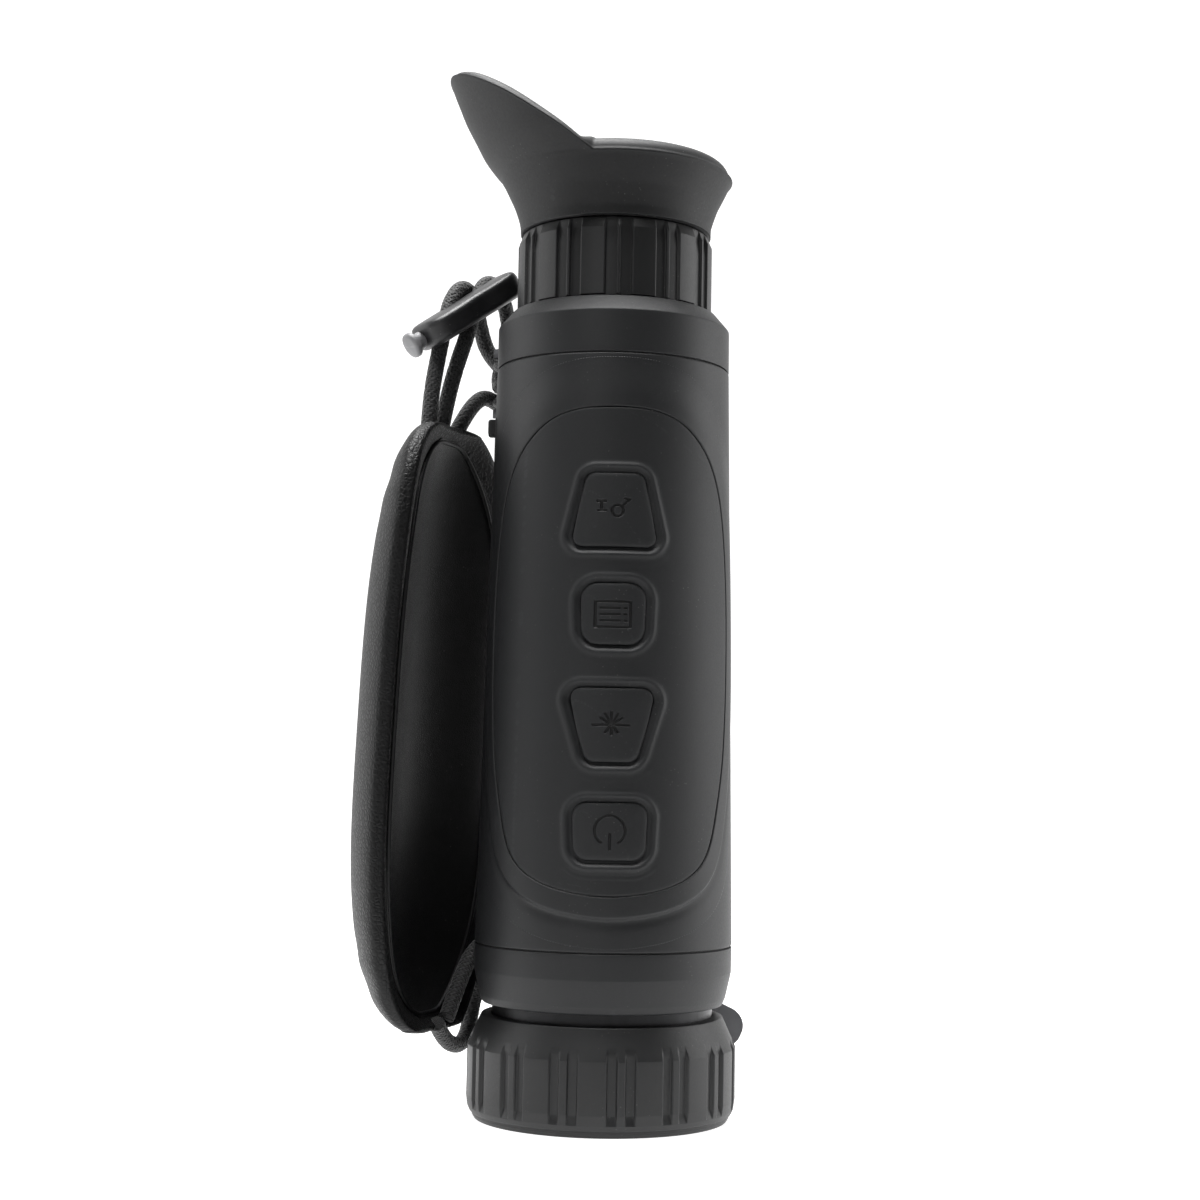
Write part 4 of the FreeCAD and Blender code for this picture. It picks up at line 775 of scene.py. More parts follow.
def key_distance(name, x, z):
    """Signed distance from a key's rounded four-sided outline: the distance from the shrunken
    polygon less the corner radius."""
    corner = KEY_CORNER[name]
    polygon = key_corners(name, -corner)
    nearest = np.full(x.shape, 1e9)
    deepest = np.full(x.shape, -1e9)
    for start, end in zip(polygon, np.roll(polygon, -1, 0)):
        side = end - start
        along = np.clip(((x - start[0]) * side[0] + (z - start[1]) * side[1]) / (side @ side), 0, 1)
        nearest = np.minimum(nearest, np.hypot(x - start[0] - along * side[0], z - start[1] - along * side[1]))
        outward = ((x - start[0]) * side[1] - (z - start[1]) * side[0]) / np.linalg.norm(side)
        deepest = np.maximum(deepest, outward)
    return np.where(deepest <= 0, deepest, nearest) - corner


def membrane_relief(x, z, rim):
    """Wells and soft rims round the keys, and two faint steps below each one."""
    relief = np.zeros(x.shape)
    for name, (centre, _, _, tall) in KEYS.items():
        distance = key_distance(name, x, z)
        relief += rim * np.exp(-((distance - 1.55) / 0.62) ** 2)
        relief -= 0.42 * (1 - smoothstep(0.45, 1.25, distance))
        relief -= 1.45 * (1 - smoothstep(-0.45, 0.05, distance))
        below = smoothstep(0.2, 0.6, (centre - tall / 2 - z) / np.maximum(distance, 0.5))
        for step in (2.9, 3.9):
            relief += 0.05 * below * (1 - smoothstep(step - 0.25, step + 0.25, distance)) * (distance > 1.6)
    return relief


def panel_half_width(height, outline):
    """Half the panel's width, as an azimuth, at each height: read off the right side of its edge."""
    right = outline[outline[:, 0] >= 0]
    right = right[np.argsort(right[:, 1])]
    return np.interp(height, right[:, 1], right[:, 0])


def make_keypad_skin():
    """Keypad surface: each row crosses the panel at one height, rolls over its edges and returns
    underneath; the relief of the wells is added to the land's rise."""
    rim = bpy.context.scene.rangefinder.rim_height / MM
    outline = panel_outline(1200)
    low, high = outline[:, 1].min() + 0.2, outline[:, 1].max() - 0.2
    level = (low + high) / 2 + (high - low) / 2 * np.sin(np.linspace(-1, 1, 392)[1:-1] * math.pi / 2)
    across = np.sin(np.linspace(-1, 1, 186) * math.pi / 2)
    across = 0.75 * np.linspace(-1, 1, 186) + 0.25 * across
    half = panel_half_width(level, outline) - 0.20 / UNROLL_RADIUS
    half = np.maximum(half, 0.05 / UNROLL_RADIUS)
    azimuth = half[:, None] * across[None]
    height = np.repeat(level[:, None], len(across), 1)
    inset = -outline_distance(azimuth, height, outline[::8]) - 0.2
    x = shell_radius(height) * np.sin(azimuth)
    rise = SADDLE_RISE + membrane_relief(x, height, rim) - 0.20 * np.exp(-np.maximum(inset, 0) / 0.16)
    top = front_surface(azimuth, height, rise)
    right = np.stack([front_surface(azimuth[:, -1], level, SADDLE_RISE - drop) for drop in (0.5, 0.9, 1.5)], 1)
    left = np.stack([front_surface(azimuth[:, 0], level, SADDLE_RISE - drop) for drop in (1.5, 0.9, 0.5)], 1)
    under_rise = np.full_like(height[:, ::-12], -2.0 + SADDLE_RISE)
    under = front_surface(azimuth[:, ::-12], height[:, ::-12], under_rise)
    piece = closed_lump("keypad_skin", np.concatenate([top, right, under, left], 1))
    return finish_piece(piece, finish_named("silicone"), "housing", ["keypad_membrane"])


def segment_distance(x, z, start, end):
    """Distance from a straight stroke between two ends."""
    side = np.subtract(end, start)
    along = np.clip(((x - start[0]) * side[0] + (z - start[1]) * side[1]) / (side @ side), 0, 1)
    return np.hypot(x - start[0] - along * side[0], z - start[1] - along * side[1])


def arc_distance(x, z, centre, radius, middle, half_open):
    """Distance from an arc that leaves out half_open radians each side of the middle direction."""
    angle = np.arctan2(z - centre[1], x - centre[0]) - middle
    angle = (angle + math.pi) % FULL - math.pi
    on_arc = np.abs(angle) > half_open
    ring = np.abs(np.hypot(x - centre[0], z - centre[1]) - radius)
    ends = [np.hypot(x - centre[0] - radius * math.cos(middle + side * half_open),
                     z - centre[1] - radius * math.sin(middle + side * half_open)) for side in (-1, 1)]
    return np.where(on_arc, ring, np.minimum(*ends))


def symbol_distance(name, x, z):
    """Distance from the strokes of a key's plain function symbol, centred on the key."""
    if name == "zoom_key":
        lines = [((1.35, 0.65), (2.9, 2.2)), ((1.9, 2.3), (2.9, 2.2)), ((-3.5, 1.7), (-1.9, 1.7)),
                 ((-3.3, -0.2), (-1.9, -0.2)), ((-2.7, 1.7), (-2.7, -0.2))]
        strokes = [arc_distance(x, z, (0.5, -0.2), 1.15, 0, 0)]
        strokes += [segment_distance(x, z, start, end) for start, end in lines]
    elif name == "menu_key":
        box = [(-3.6, 2.5), (3.4, 2.5), (3.4, -2.7), (-3.6, -2.7)]
        strokes = [segment_distance(x, z, a, b) for a, b in zip(box, box[1:] + box[:1])]
        strokes += [segment_distance(x, z, (-2.5, level), (1.2, level)) for level in (1.2, -0.1, -1.4)]
        strokes += [segment_distance(x, z, (2.2, level), (2.5, level)) for level in (1.2, -0.1, -1.4)]
    elif name == "laser_key":
        strokes = [segment_distance(x, z, (-3.6, 0.0), (3.4, 0.0))]
        for degrees in (35, 62, 90, 118, 145, -50, -90, -130):
            far = 2.6 if degrees > 0 else 1.9
            ray = (math.cos(math.radians(degrees)), math.sin(math.radians(degrees)))
            strokes.append(segment_distance(x, z, (0.55 * ray[0], 0.55 * ray[1]), (far * ray[0], far * ray[1])))
    else:
        strokes = [arc_distance(x, z, (0.0, 0.3), 3.0, -math.pi / 2, 0.62),
                   segment_distance(x, z, (0, -0.4), (0, -3.6))]
    return np.minimum.reduce(strokes)


def make_key(name):
    """Key cap: rings grow from the key's centre to its rounded outline over a low crown, roll over the
    edge, drop into the well and close below; the symbol is pressed into the crown, and its strokes are painted
    darker as painted shade."""
    settings = bpy.context.scene.rangefinder
    corner = KEY_CORNER[name]
    corners = [(x, z, corner) for x, z in key_corners(name)]
    outline = even_loop(rounded_loop(corners, 0.4, 9), 264)
    centre_z = KEYS[name][0]
    centre = np.array([0.0, centre_z])
    share = np.linspace(0.012, 1, 96)
    plan = centre + (outline - centre)[None] * share[:, None, None]
    x, z = plan[..., 0], plan[..., 1]
    inset = -key_distance(name, x, z)
    rise = SADDLE_RISE + 0.30 + 0.10 * smoothstep(0.0, 5.0, inset) - 0.38 * np.exp(-inset / 0.42)
    stroke = symbol_distance(name, x, z - centre_z)
    rise -= settings.icon_depth / MM * (1 - smoothstep(0.16, 0.34, stroke))
    azimuth = np.arcsin(x / shell_radius(z))
    top = front_surface(azimuth, z, rise)
    rim_azimuth, rim_z = azimuth[-1], z[-1]
    sides = [front_surface(rim_azimuth, rim_z, SADDLE_RISE - drop) for drop in (0.22, 0.45, 0.8, 1.0)]
    under = front_surface(azimuth[::-16], z[::-16], np.full_like(z[::-16], SADDLE_RISE - 1.05))
    grid = np.concatenate([top, np.stack(sides), under])
    piece = closed_lump(name + "_cap", grid)
    # Painted shade: a mask of the symbol's pressed-in strokes, which the material paints darker.
    mask = np.zeros(grid.shape[0] * grid.shape[1] + 2)
    mask[:stroke.size] = 1 - smoothstep(0.15, 0.36, stroke.ravel())
    paint_mask(piece, "symbol", mask)
    return finish_piece(piece, finish_named("marked_silicone"), name, [name])


def make_caps():
    """Front and rear caps: filleted outlines turned round the axis."""
    low = BODY_FRONT_RADIUS - 1.25
    front = lathe_skin("front_cap_skin", [
        (BARREL_RADIUS + 0.01, CAP_BOTTOM, 0.1), (low - 0.6, CAP_BOTTOM, 0.6),
        (low + 0.05, CAP_BOTTOM + 1.6, 2.0),
        (27.15, 29.6, 3.0), (BODY_FRONT_RADIUS - 0.02, 31.2, 2.0), (BODY_FRONT_RADIUS, CAP_TOP, 0.22),
        (BARREL_RADIUS + 0.01, CAP_TOP, 0.1)])
    finish_piece(front, finish_named("soft_touch"), "housing", ["front_cap"])
    rear = lathe_skin("rear_cap_skin", [
        (BODY_REAR_RADIUS - WALL, REAR_BOTTOM, 0.1), (BODY_REAR_RADIUS, REAR_BOTTOM, 0.22),
        (BODY_REAR_RADIUS - 0.05, REAR_TOP - 3.7, 0.7), (BODY_REAR_RADIUS - 3.0, REAR_TOP - 0.25, 0.45),
        (BODY_REAR_RADIUS - 3.6, REAR_TOP, 0.2), (EYEBARREL_RADIUS + 0.01, REAR_TOP, 0.1),
        (EYEBARREL_RADIUS + 0.01, REAR_TOP - 3.0, 0.1), (BODY_REAR_RADIUS - WALL, REAR_TOP - 4.5, 0.3)])
    finish_piece(rear, finish_named("soft_touch"), "housing", ["rear_cap"])


def groove_shape(pairs, first, groove, ridge, depth, low, high, outer, facet=0.0):
    """Radius change for pairs of shallow upright grooves: inside a groove the radius is cut to the
    groove's floor between two heights, and runs out by itself where the ring is already narrower."""
    pitch = FULL / pairs

    def shape(radius, height, azimuth):
        turn = (azimuth - math.radians(first - 90) + pitch / 2) % pitch - pitch / 2
        offset = np.abs(turn) * outer
        mask = smoothstep(ridge / 2 - 0.12, ridge / 2 + 0.16, offset)
        mask = mask * (1 - smoothstep(ridge / 2 + groove - 0.16, ridge / 2 + groove + 0.12, offset))
        mask = mask * smoothstep(low - 0.5, low + 0.3, height)
        mask = mask * (1 - smoothstep(high - 0.2, high + 1.0, height))
        floor = outer - depth - facet * smoothstep(high - 4.5, high, height)
        return radius - mask * np.maximum(radius - floor, 0) * (radius > outer - 4.2)

    return shape


def make_rings():
    """Focus and diopter rings: filleted outlines turned round the axis, with paired grip grooves."""
    focus = lathe_skin("focus_ring_skin", [
        (26.0, 0.0, 0.2), (26.9, 0.0, 0.2), (27.35, 0.75, 0.3), (27.35, 1.2, 0.15), (27.9, 1.6, 0.4),
        (28.35, 2.6, 0.8), (RING_RADIUS, 4.6, 2.0), (RING_RADIUS, 15.4, 0.5), (25.7, RING_HEIGHT - 0.1, 0.35),
        (BARREL_RADIUS + RING_CLEARANCE, RING_HEIGHT, 0.2), (BARREL_RADIUS + RING_CLEARANCE, 6.5, 0.1),
        (26.0, 6.5, 0.1)],
        columns=1080, step=0.9,
        shape=groove_shape(15, 6.5, 2.1, 1.8, 0.75, 3.0, 16.4, RING_RADIUS))
    finish_piece(focus, finish_named("ribbed_nylon"), "focus_ring", ["focus_ring"])
    bore = EYEBARREL_RADIUS + RING_CLEARANCE
    diopter = lathe_skin("diopter_ring_skin", [
        (bore, DIOPTER_BOTTOM, 0.1), (DIOPTER_RADIUS, DIOPTER_BOTTOM, 0.25),
        (DIOPTER_RADIUS, DIOPTER_TOP - 2.3, 0.4),
        (DIOPTER_RADIUS - 1.0, DIOPTER_TOP, 0.3), (bore, DIOPTER_TOP, 0.1)],
        columns=960, step=0.8,
        shape=groove_shape(12, 0.0, 2.5, 0.8, 0.6, DIOPTER_BOTTOM - 2, DIOPTER_TOP - 1.2, DIOPTER_RADIUS, 0.35))
    finish_piece(diopter, finish_named("ribbed_nylon"), "diopter_ring", ["diopter_ring"])


# height above the eyecup's base, outside radius
CUP_KNOTS = [(0.0, 20.9), (2.2, 20.95), (4.1, 21.5), (6.7, 22.4), (9.5, 23.8), (12.2, 25.1), (15.2, 27.6),
             (17.7, 29.5), (20.7, 31.0), (23.2, 32.35), (25.7, 33.7), (28.7, 34.9), (31.3, 36.0), (33.7, 36.9),
             (36.5, 37.7), (38.5, 38.2)]


def cup_outside(height):
    """Outside radius of the eyecup against height above its base: a straight socket, a hollow flare
    to the rim, then the wing's skirt, which goes on outwards more and more steeply."""
    return np.interp(height, *np.array(CUP_KNOTS).T)


def soften_rows(rows, times):
    """Each inner row becomes a quarter of each neighbour and half of itself, the given number of times."""
    for _ in range(times):
        rows[1:-1] = 0.25 * rows[:-2] + 0.5 * rows[1:-1] + 0.25 * rows[2:]


def make_eyecup():
    """Winged eyecup: for each direction the outside climbs to the rim or, on the wing's side, to the
    slanted plane that trims the skirt; a rounded lip turns it into the inside, which goes down to the
    throat and out to the seat."""
    columns = 420
    azimuth = np.linspace(0, FULL, columns, endpoint=False)
    rim = 12.6
    slope = math.tan(math.radians(34.7))
    top = np.full(columns, rim)
    for _ in range(40):
        reach = -cup_outside(top) * np.cos(azimuth)
        wanted = np.clip(rim + (reach - 6.0) * slope, rim, 37.3)
        top = 0.6 * top + 0.4 * wanted
    wing = smoothstep(0.0, 2.5, top - rim)
    lip_width = 3.1 - 1.3 * wing
    lip_height = 3.2 - 2.5 * wing
    climb = np.linspace(0, 1, 64)[:, None]
    outer_h = climb * top
    outer_r = cup_outside(outer_h)
    soften_rows(outer_r, 6)
    outer_r[-1] += 0.12
    outer_r -= 0.22 * wing * np.exp(-((outer_h - rim - 0.5) / 0.45) ** 2)
    turn = np.linspace(0, math.pi / 2, 12)[1:, None]
    ledge = 0.65
    lip_r = outer_r[-1] - ledge - lip_width * (1 - np.cos(turn))
    lip_h = top + 0.12 + lip_height * np.sin(turn)
    fall = np.linspace(1, 0, 56)[:, None]
    throat_r, throat_h = 16.6, 5.2
    inner_h = throat_h + fall * (top + lip_height - 0.4 - throat_h)
    cone = throat_r + (21.4 - throat_r) * np.clip((inner_h - throat_h) / (rim - throat_h), 0, 1) ** 1.15
    skirt = np.minimum(cup_outside(inner_h), outer_r[-1]) - lip_width - ledge - 0.05
    inner_r = np.where(inner_h > rim, skirt, np.minimum(cone, skirt))
    inner_r[0] = outer_r[-1] - lip_width - ledge - 0.05
    soften_rows(inner_r, 8)
    seat = EYEBARREL_RADIUS + RING_CLEARANCE
    last = [(16.1, 4.7), (16.0, 4.0), (seat, 3.9), (seat, 0.15), (seat + 0.15, 0.0), (20.6, 0.0)]
    last_r, last_h = np.repeat(np.array(last).T[:, :, None], columns, 2)
    outer_h[0] += 0.25
    radius = np.concatenate([outer_r, lip_r, inner_r, last_r])
    height = np.concatenate([outer_h, lip_h, inner_h, last_h]) + EYECUP_BOTTOM
    piece = closed_ring("eyecup_skin", radius, height, azimuth[None])
    return finish_piece(piece, finish_named("cup_rubber"), "eyecup", ["eyecup"])


# ---------------------------------------------------------------- hand strap
def cushion_frame(share):
    """Width, distance and thickness of the cushion at a share from -1 (low end) to 1 (high end)."""
    size = np.abs(share)
    swell = np.sqrt(np.clip(1 - size ** 5, 0, 1))
    bow = np.sqrt(np.clip(1 - size ** 3.2, 0, 1))
    half_height = (CUSHION_HIGH - CUSHION_LOW) / 2
    width = 7.0 + 18.0 * swell
    distance = 37.0 + 15.5 * bow - 0.045 * share * half_height * bow
    thick = bpy.context.scene.rangefinder.cushion_thickness / MM * (0.62 + 0.38 * swell)
    return width, distance, thick


def cushion_point(share, along, out):
    """Point from its share of height, and its offsets along and out of the cushion's middle plane."""
    middle = (CUSHION_HIGH + CUSHION_LOW) / 2
    height = middle + share * (CUSHION_HIGH - CUSHION_LOW) / 2
    point = (CUSHION_SIDE + along)[..., None] * CUSHION_ALONG + out[..., None] * CUSHION_OUT
    point[..., 2] += height
    return point


def cushion_normal(along):
    """Components, along and out, of the normal to the cushion's curled middle line."""
    lean = 26.0 / 25.0 * along / 25.0
    out = 1 / np.sqrt(1 + lean ** 2)
    return lean * out, out


def cushion_section(share, turn):
    """Offsets of the padded section: a flattened ring whose middle line curls in at both edges."""
    width, distance, thick = cushion_frame(share)
    cosine, sine = np.cos(turn), np.sin(turn)
    along = width * np.sign(cosine) * np.abs(cosine) ** 0.78
    curl = 13.0 * (width / 25.0) ** 2 * (along / width) ** 2
    offset = 0.5 * thick * np.sign(sine) * np.abs(sine) ** 0.55
    normal_along, normal_out = cushion_normal(along)
    middle = distance - thick / 2 - curl
    return along + offset * normal_along, middle + offset * normal_out


def make_cushion():
    """Padded strap: rows of closed sections from the low end to the high end; the last rows shrink
    towards their middle so that both ends are domed, and long soft creases cross the padding."""
    share = np.sin(np.linspace(-math.pi / 2, math.pi / 2, 220))[:, None] * 0.985
    turn = np.linspace(0, FULL, 240, endpoint=False)[None]
    along, out = cushion_section(share, turn)
    crease = 0.18 * np.sin(share * 46 + 1.2 * np.cos(turn)) * np.exp(-((np.abs(share) - 0.82) / 0.12) ** 2)
    out = out + crease * (np.sin(turn) > 0)
    grid = cushion_point(share + 0 * turn, along, out)
    ends = np.linspace(0, 1, 7)[1:]
    low, high = grid[0], grid[-1]

    def dome(ring, direction):
        centre = ring.mean(0)
        rows = []
        for step in ends:
            shrink = math.sqrt(1 - step ** 2 * 0.98)
            rows.append(centre + (ring - centre) * shrink + np.array([0, 0, direction * step * 1.3]))
        return rows

    grid = np.concatenate([np.stack(dome(low, -1))[::-1], grid, np.stack(dome(high, 1))])
    piece = closed_lump("cushion_skin", grid)
    finish_piece(piece, finish_named("leatherette"), "hand_strap", ["strap_cushion"])


def inner_rim_line(count, inset):
    """Closed line on the cushion's inner face, a constant distance in from its outline."""
    turn = np.linspace(0, FULL, count, endpoint=False)
    up = np.sign(np.sin(turn)) * np.abs(np.sin(turn)) ** 0.55
    side = np.sign(np.cos(turn)) * np.abs(np.cos(turn)) ** 0.55
    share = up * (1 - (inset + 1.0) / 66.0) * 0.985
    return share, side * (cushion_frame(share)[0] - inset)


def inner_face(share, along, depth):
    """Point on the cushion's inner face, depth millimetres towards the hand."""
    width, distance, thick = cushion_frame(share)
    normal_along, normal_out = cushion_normal(along)
    curl = 13.0 * (width / 25.0) ** 2 * (along / width) ** 2
    middle = distance - thick / 2 - curl
    edge = np.clip(1 - (np.abs(along) / width) ** 6, 0.05, 1) ** 0.35
    offset = -(0.5 * thick * edge + depth)
    return cushion_point(share, along + offset * normal_along, middle + offset * normal_out)


def tube_along(name, line, radius, around=12, closed=True):
    """Tube round a line of points: a ring at each point, square to the line, set off by the cross product
    with one fixed direction. The radius is one number or a (point, ring, 1) array."""
    ahead = np.roll(line, -1, 0) - np.roll(line, 1, 0)
    if not closed:
        ahead[0], ahead[-1] = line[1] - line[0], line[-1] - line[-2]
    ahead /= np.linalg.norm(ahead, axis=1)[:, None]
    side = np.cross(ahead, [0.31, 0.22, 0.93])
    side /= np.linalg.norm(side, axis=1)[:, None]
    other = np.cross(ahead, side)
    turn = np.linspace(0, FULL, around, endpoint=False)[None, :, None]
    grid = line[:, None] + radius * (np.cos(turn) * side[:, None] + np.sin(turn) * other[:, None])
    run = run_along(line)
    uv = np.stack(np.broadcast_arrays(run[:, None], np.linspace(0, 1, around)[None]), -1)
    if closed:
        rows, columns = grid.shape[:2]
        quads = grid_quads(rows, columns, True, True)
        return build_object(name, grid.reshape(-1, 3), quads, uv=uv.reshape(-1, 2))
    return closed_lump(name, grid, uv)


def make_cushion_trim():
    """Lining let into the inner face, and the piping round it."""
    settings = bpy.context.scene.rangefinder
    rows, columns = 150, 70
    share = np.sin(np.linspace(-math.pi / 2, math.pi / 2, rows))[:, None] * 0.955
    width = cushion_frame(share)[0]
    across = np.sin(np.linspace(-math.pi / 2, math.pi / 2, columns))[None]
    reach = (width - 1.6) * np.sqrt(np.clip(1 - (np.abs(share) / 0.975) ** 7, 0, 1))
    along = across * reach
    depth = 0.10 + 0.22 * np.sqrt(np.clip(1 - across ** 6, 0, 1)) + 0 * share
    top = inner_face(share + 0 * across, along, depth)
    under = inner_face(share + 0 * across, along, depth * 0 - 0.5)
    loop = np.concatenate([top, under[:, ::-1]], axis=1)
    lining = closed_lump("cushion_lining", loop)
    finish_piece(lining, finish_named("lining"), "hand_strap")
    share, along = inner_rim_line(420, 1.5)
    line = inner_face(share, along, np.full(len(share), 0.12))
    piping = tube_along("cushion_piping", line, settings.piping_radius / MM, 12)
    finish_piece(piping, finish_named("lining"), "hand_strap")


def spline_points(curve_piece):
    """Points of a curve's own line, read from its evaluated spline, in millimetres."""
    mesh = bpy.data.meshes.new_from_object(curve_piece)
    points = np.zeros(len(mesh.vertices) * 3)
    mesh.vertices.foreach_get("co", points)
    bpy.data.meshes.remove(mesh)
    return points.reshape(-1, 3) / MM


def even_line(points, step):
    """The same open line at evenly spaced points."""
    run = run_along(points)
    at = np.linspace(0, run[-1], max(8, int(run[-1] / step)))
    return np.stack([np.interp(at, run, points[:, axis]) for axis in range(3)], -1)


def make_cord(name, diameter, finish):
    """Braided tube along the route's smooth spline: the surface is raised where two crossing sets of
    diagonal strands come to the top."""
    curve = bpy.data.curves.new(name + "_route", "CURVE")
    curve.dimensions = "3D"
    curve.resolution_u = 24
    spline = curve.splines.new("NURBS")
    route = np.array(CORD_ROUTES[name]) * MM
    spline.points.add(len(route) - 1)
    weighted = np.concatenate([route, np.ones((len(route), 1))], 1)
    spline.points.foreach_set("co", weighted.astype(np.float32).ravel())
    spline.order_u = 3
    spline.use_endpoint_u = True
    guide = bpy.data.objects.new(name + "_route", curve)
    bpy.context.scene.collection.objects.link(guide)
    line = even_line(spline_points(guide), 0.22)
    bpy.data.objects.remove(guide)
    radius = diameter / MM / 2
    run = run_along(line)[:, None]
    around, strands = 40, 8
    turn = np.linspace(0, 1, around, endpoint=False)[None]
    pitch = 1 / (2.6 * radius)
    first = np.abs(np.sin(math.pi * (run * pitch * 2 + turn * strands)))
    second = np.abs(np.sin(math.pi * (run * pitch * 2 - turn * strands)))
    relief = radius * (0.86 + 0.14 * np.maximum(first, second) ** 0.8)
    piece = tube_along(name + "_braid", line, relief[..., None], around, closed=False)
    finish_piece(piece, finish_named(finish), "hand_strap", [name])


def make_bar_loops():
    """Loops of cord round the two lug bars, where the strap's cords are tied."""
    bar = LUG_LINE_RADIUS / math.sqrt(2)
    loop_radius, loop_cord_radius = 2.65, 1.25
    turn = np.linspace(0, FULL, 64, endpoint=False)
    for label, heights in (("upper", (157.2, 161.2, 165.6)), ("lower", (28.2, 34.6))):
        for index, height in enumerate(heights):
            line = np.stack([-bar + loop_radius * np.cos(turn), bar + loop_radius * np.sin(turn),
                             height + 0.25 * np.sin(turn)], -1)
            loop = tube_along(f"{label}_bar_loop_{index + 1}", line, loop_cord_radius, 20)
            finish_piece(loop, finish_named("braid"), "hand_strap")


def make_cord_lock():
    """Cord lock: a flattened bar with rounded ends, swept along its length, and a plunger whose light grey
    colour is a painted reflection.
    """
    long = LOCK_HIGH_END - LOCK_LOW_END
    length = np.linalg.norm(long)
    long = long / length
    side = np.cross(long, [0, 0, 1])
    side /= np.linalg.norm(side)
    up = np.cross(side, long)
    middle = (LOCK_LOW_END + LOCK_HIGH_END) / 2
    t = np.linspace(-1, 1, 90)[:, None]
    turn = np.linspace(0, FULL, 72, endpoint=False)[None]
    cosine, sine = np.cos(turn), np.sin(turn)
    plan = np.clip(1 - np.abs(t) ** 7, 0, 1) ** 0.5
    wide = 7.0 * (0.06 + 0.94 * plan) * (1 - 0.10 * np.exp(-((t - 0.1) / 0.25) ** 2))
    tall = 3.1 * (0.55 + 0.45 * np.clip(1 - np.abs(t) ** 24, 0, 1))
    y = wide * np.sign(cosine) * np.abs(cosine) ** 0.6
    z = tall * np.sign(sine) * np.abs(sine) ** 0.42
    groove = 0.25 * np.exp(-(z / 0.35) ** 2) * (np.abs(cosine) > 0.5)
    y = y - np.sign(y) * groove
    x = t * length / 2 + 0 * turn
    grid = middle + x[..., None] * long + y[..., None] * side + z[..., None] * up
    body = closed_lump("cord_lock_shell", grid)
    finish_piece(body, finish_named("lock_nylon"), "hand_strap", ["cord_lock_body"])
    start = -length / 2
    stations = [(-3.5, 0.4), (-3.45, 2.2), (-3.2, 2.75), (-2.8, 2.9), (-2.1, 2.9), (-1.85, 2.7), (-1.75, 2.2),
                (-1.7, 1.95), (-0.5, 1.95), (0.6, 1.95), (0.9, 1.6), (1.0, 0.4)]
    x = np.array([s for s, _ in stations])[:, None] + start
    r = np.array([r for _, r in stations])[:, None]
    round_it = (r * cosine)[..., None] * side + (r * sine)[..., None] * up
    grid = middle + (x + 0 * turn)[..., None] * long + round_it
    # The plunger's light grey colour is a painted reflection.
    plunger = closed_lump("cord_lock_button", grid)
    finish_piece(plunger, finish_named("grey_nylon"), "cord_lock_plunger",
                 ["cord_lock_plunger"])


def make_leash_knot():
    """Small overhand knot on the leash: a lumpy bead from three crossing waves."""
    theta = np.linspace(0.05, math.pi - 0.05, 26)[:, None]
    phi = np.linspace(0, FULL, 40, endpoint=False)[None]
    radius = 1.15 + 0.16 * np.sin(3 * phi + 2 * theta) + 0.12 * np.sin(2 * phi - 5 * theta)
    grid = np.stack([radius * np.sin(theta) * np.cos(phi), radius * np.sin(theta) * np.sin(phi),
                     radius * np.cos(theta) + 0 * phi], -1) + [-32.4, 23.2, 25.2]
    piece = closed_lump("leash_knot", grid)
    return finish_piece(piece, finish_named("string"), "hand_strap")


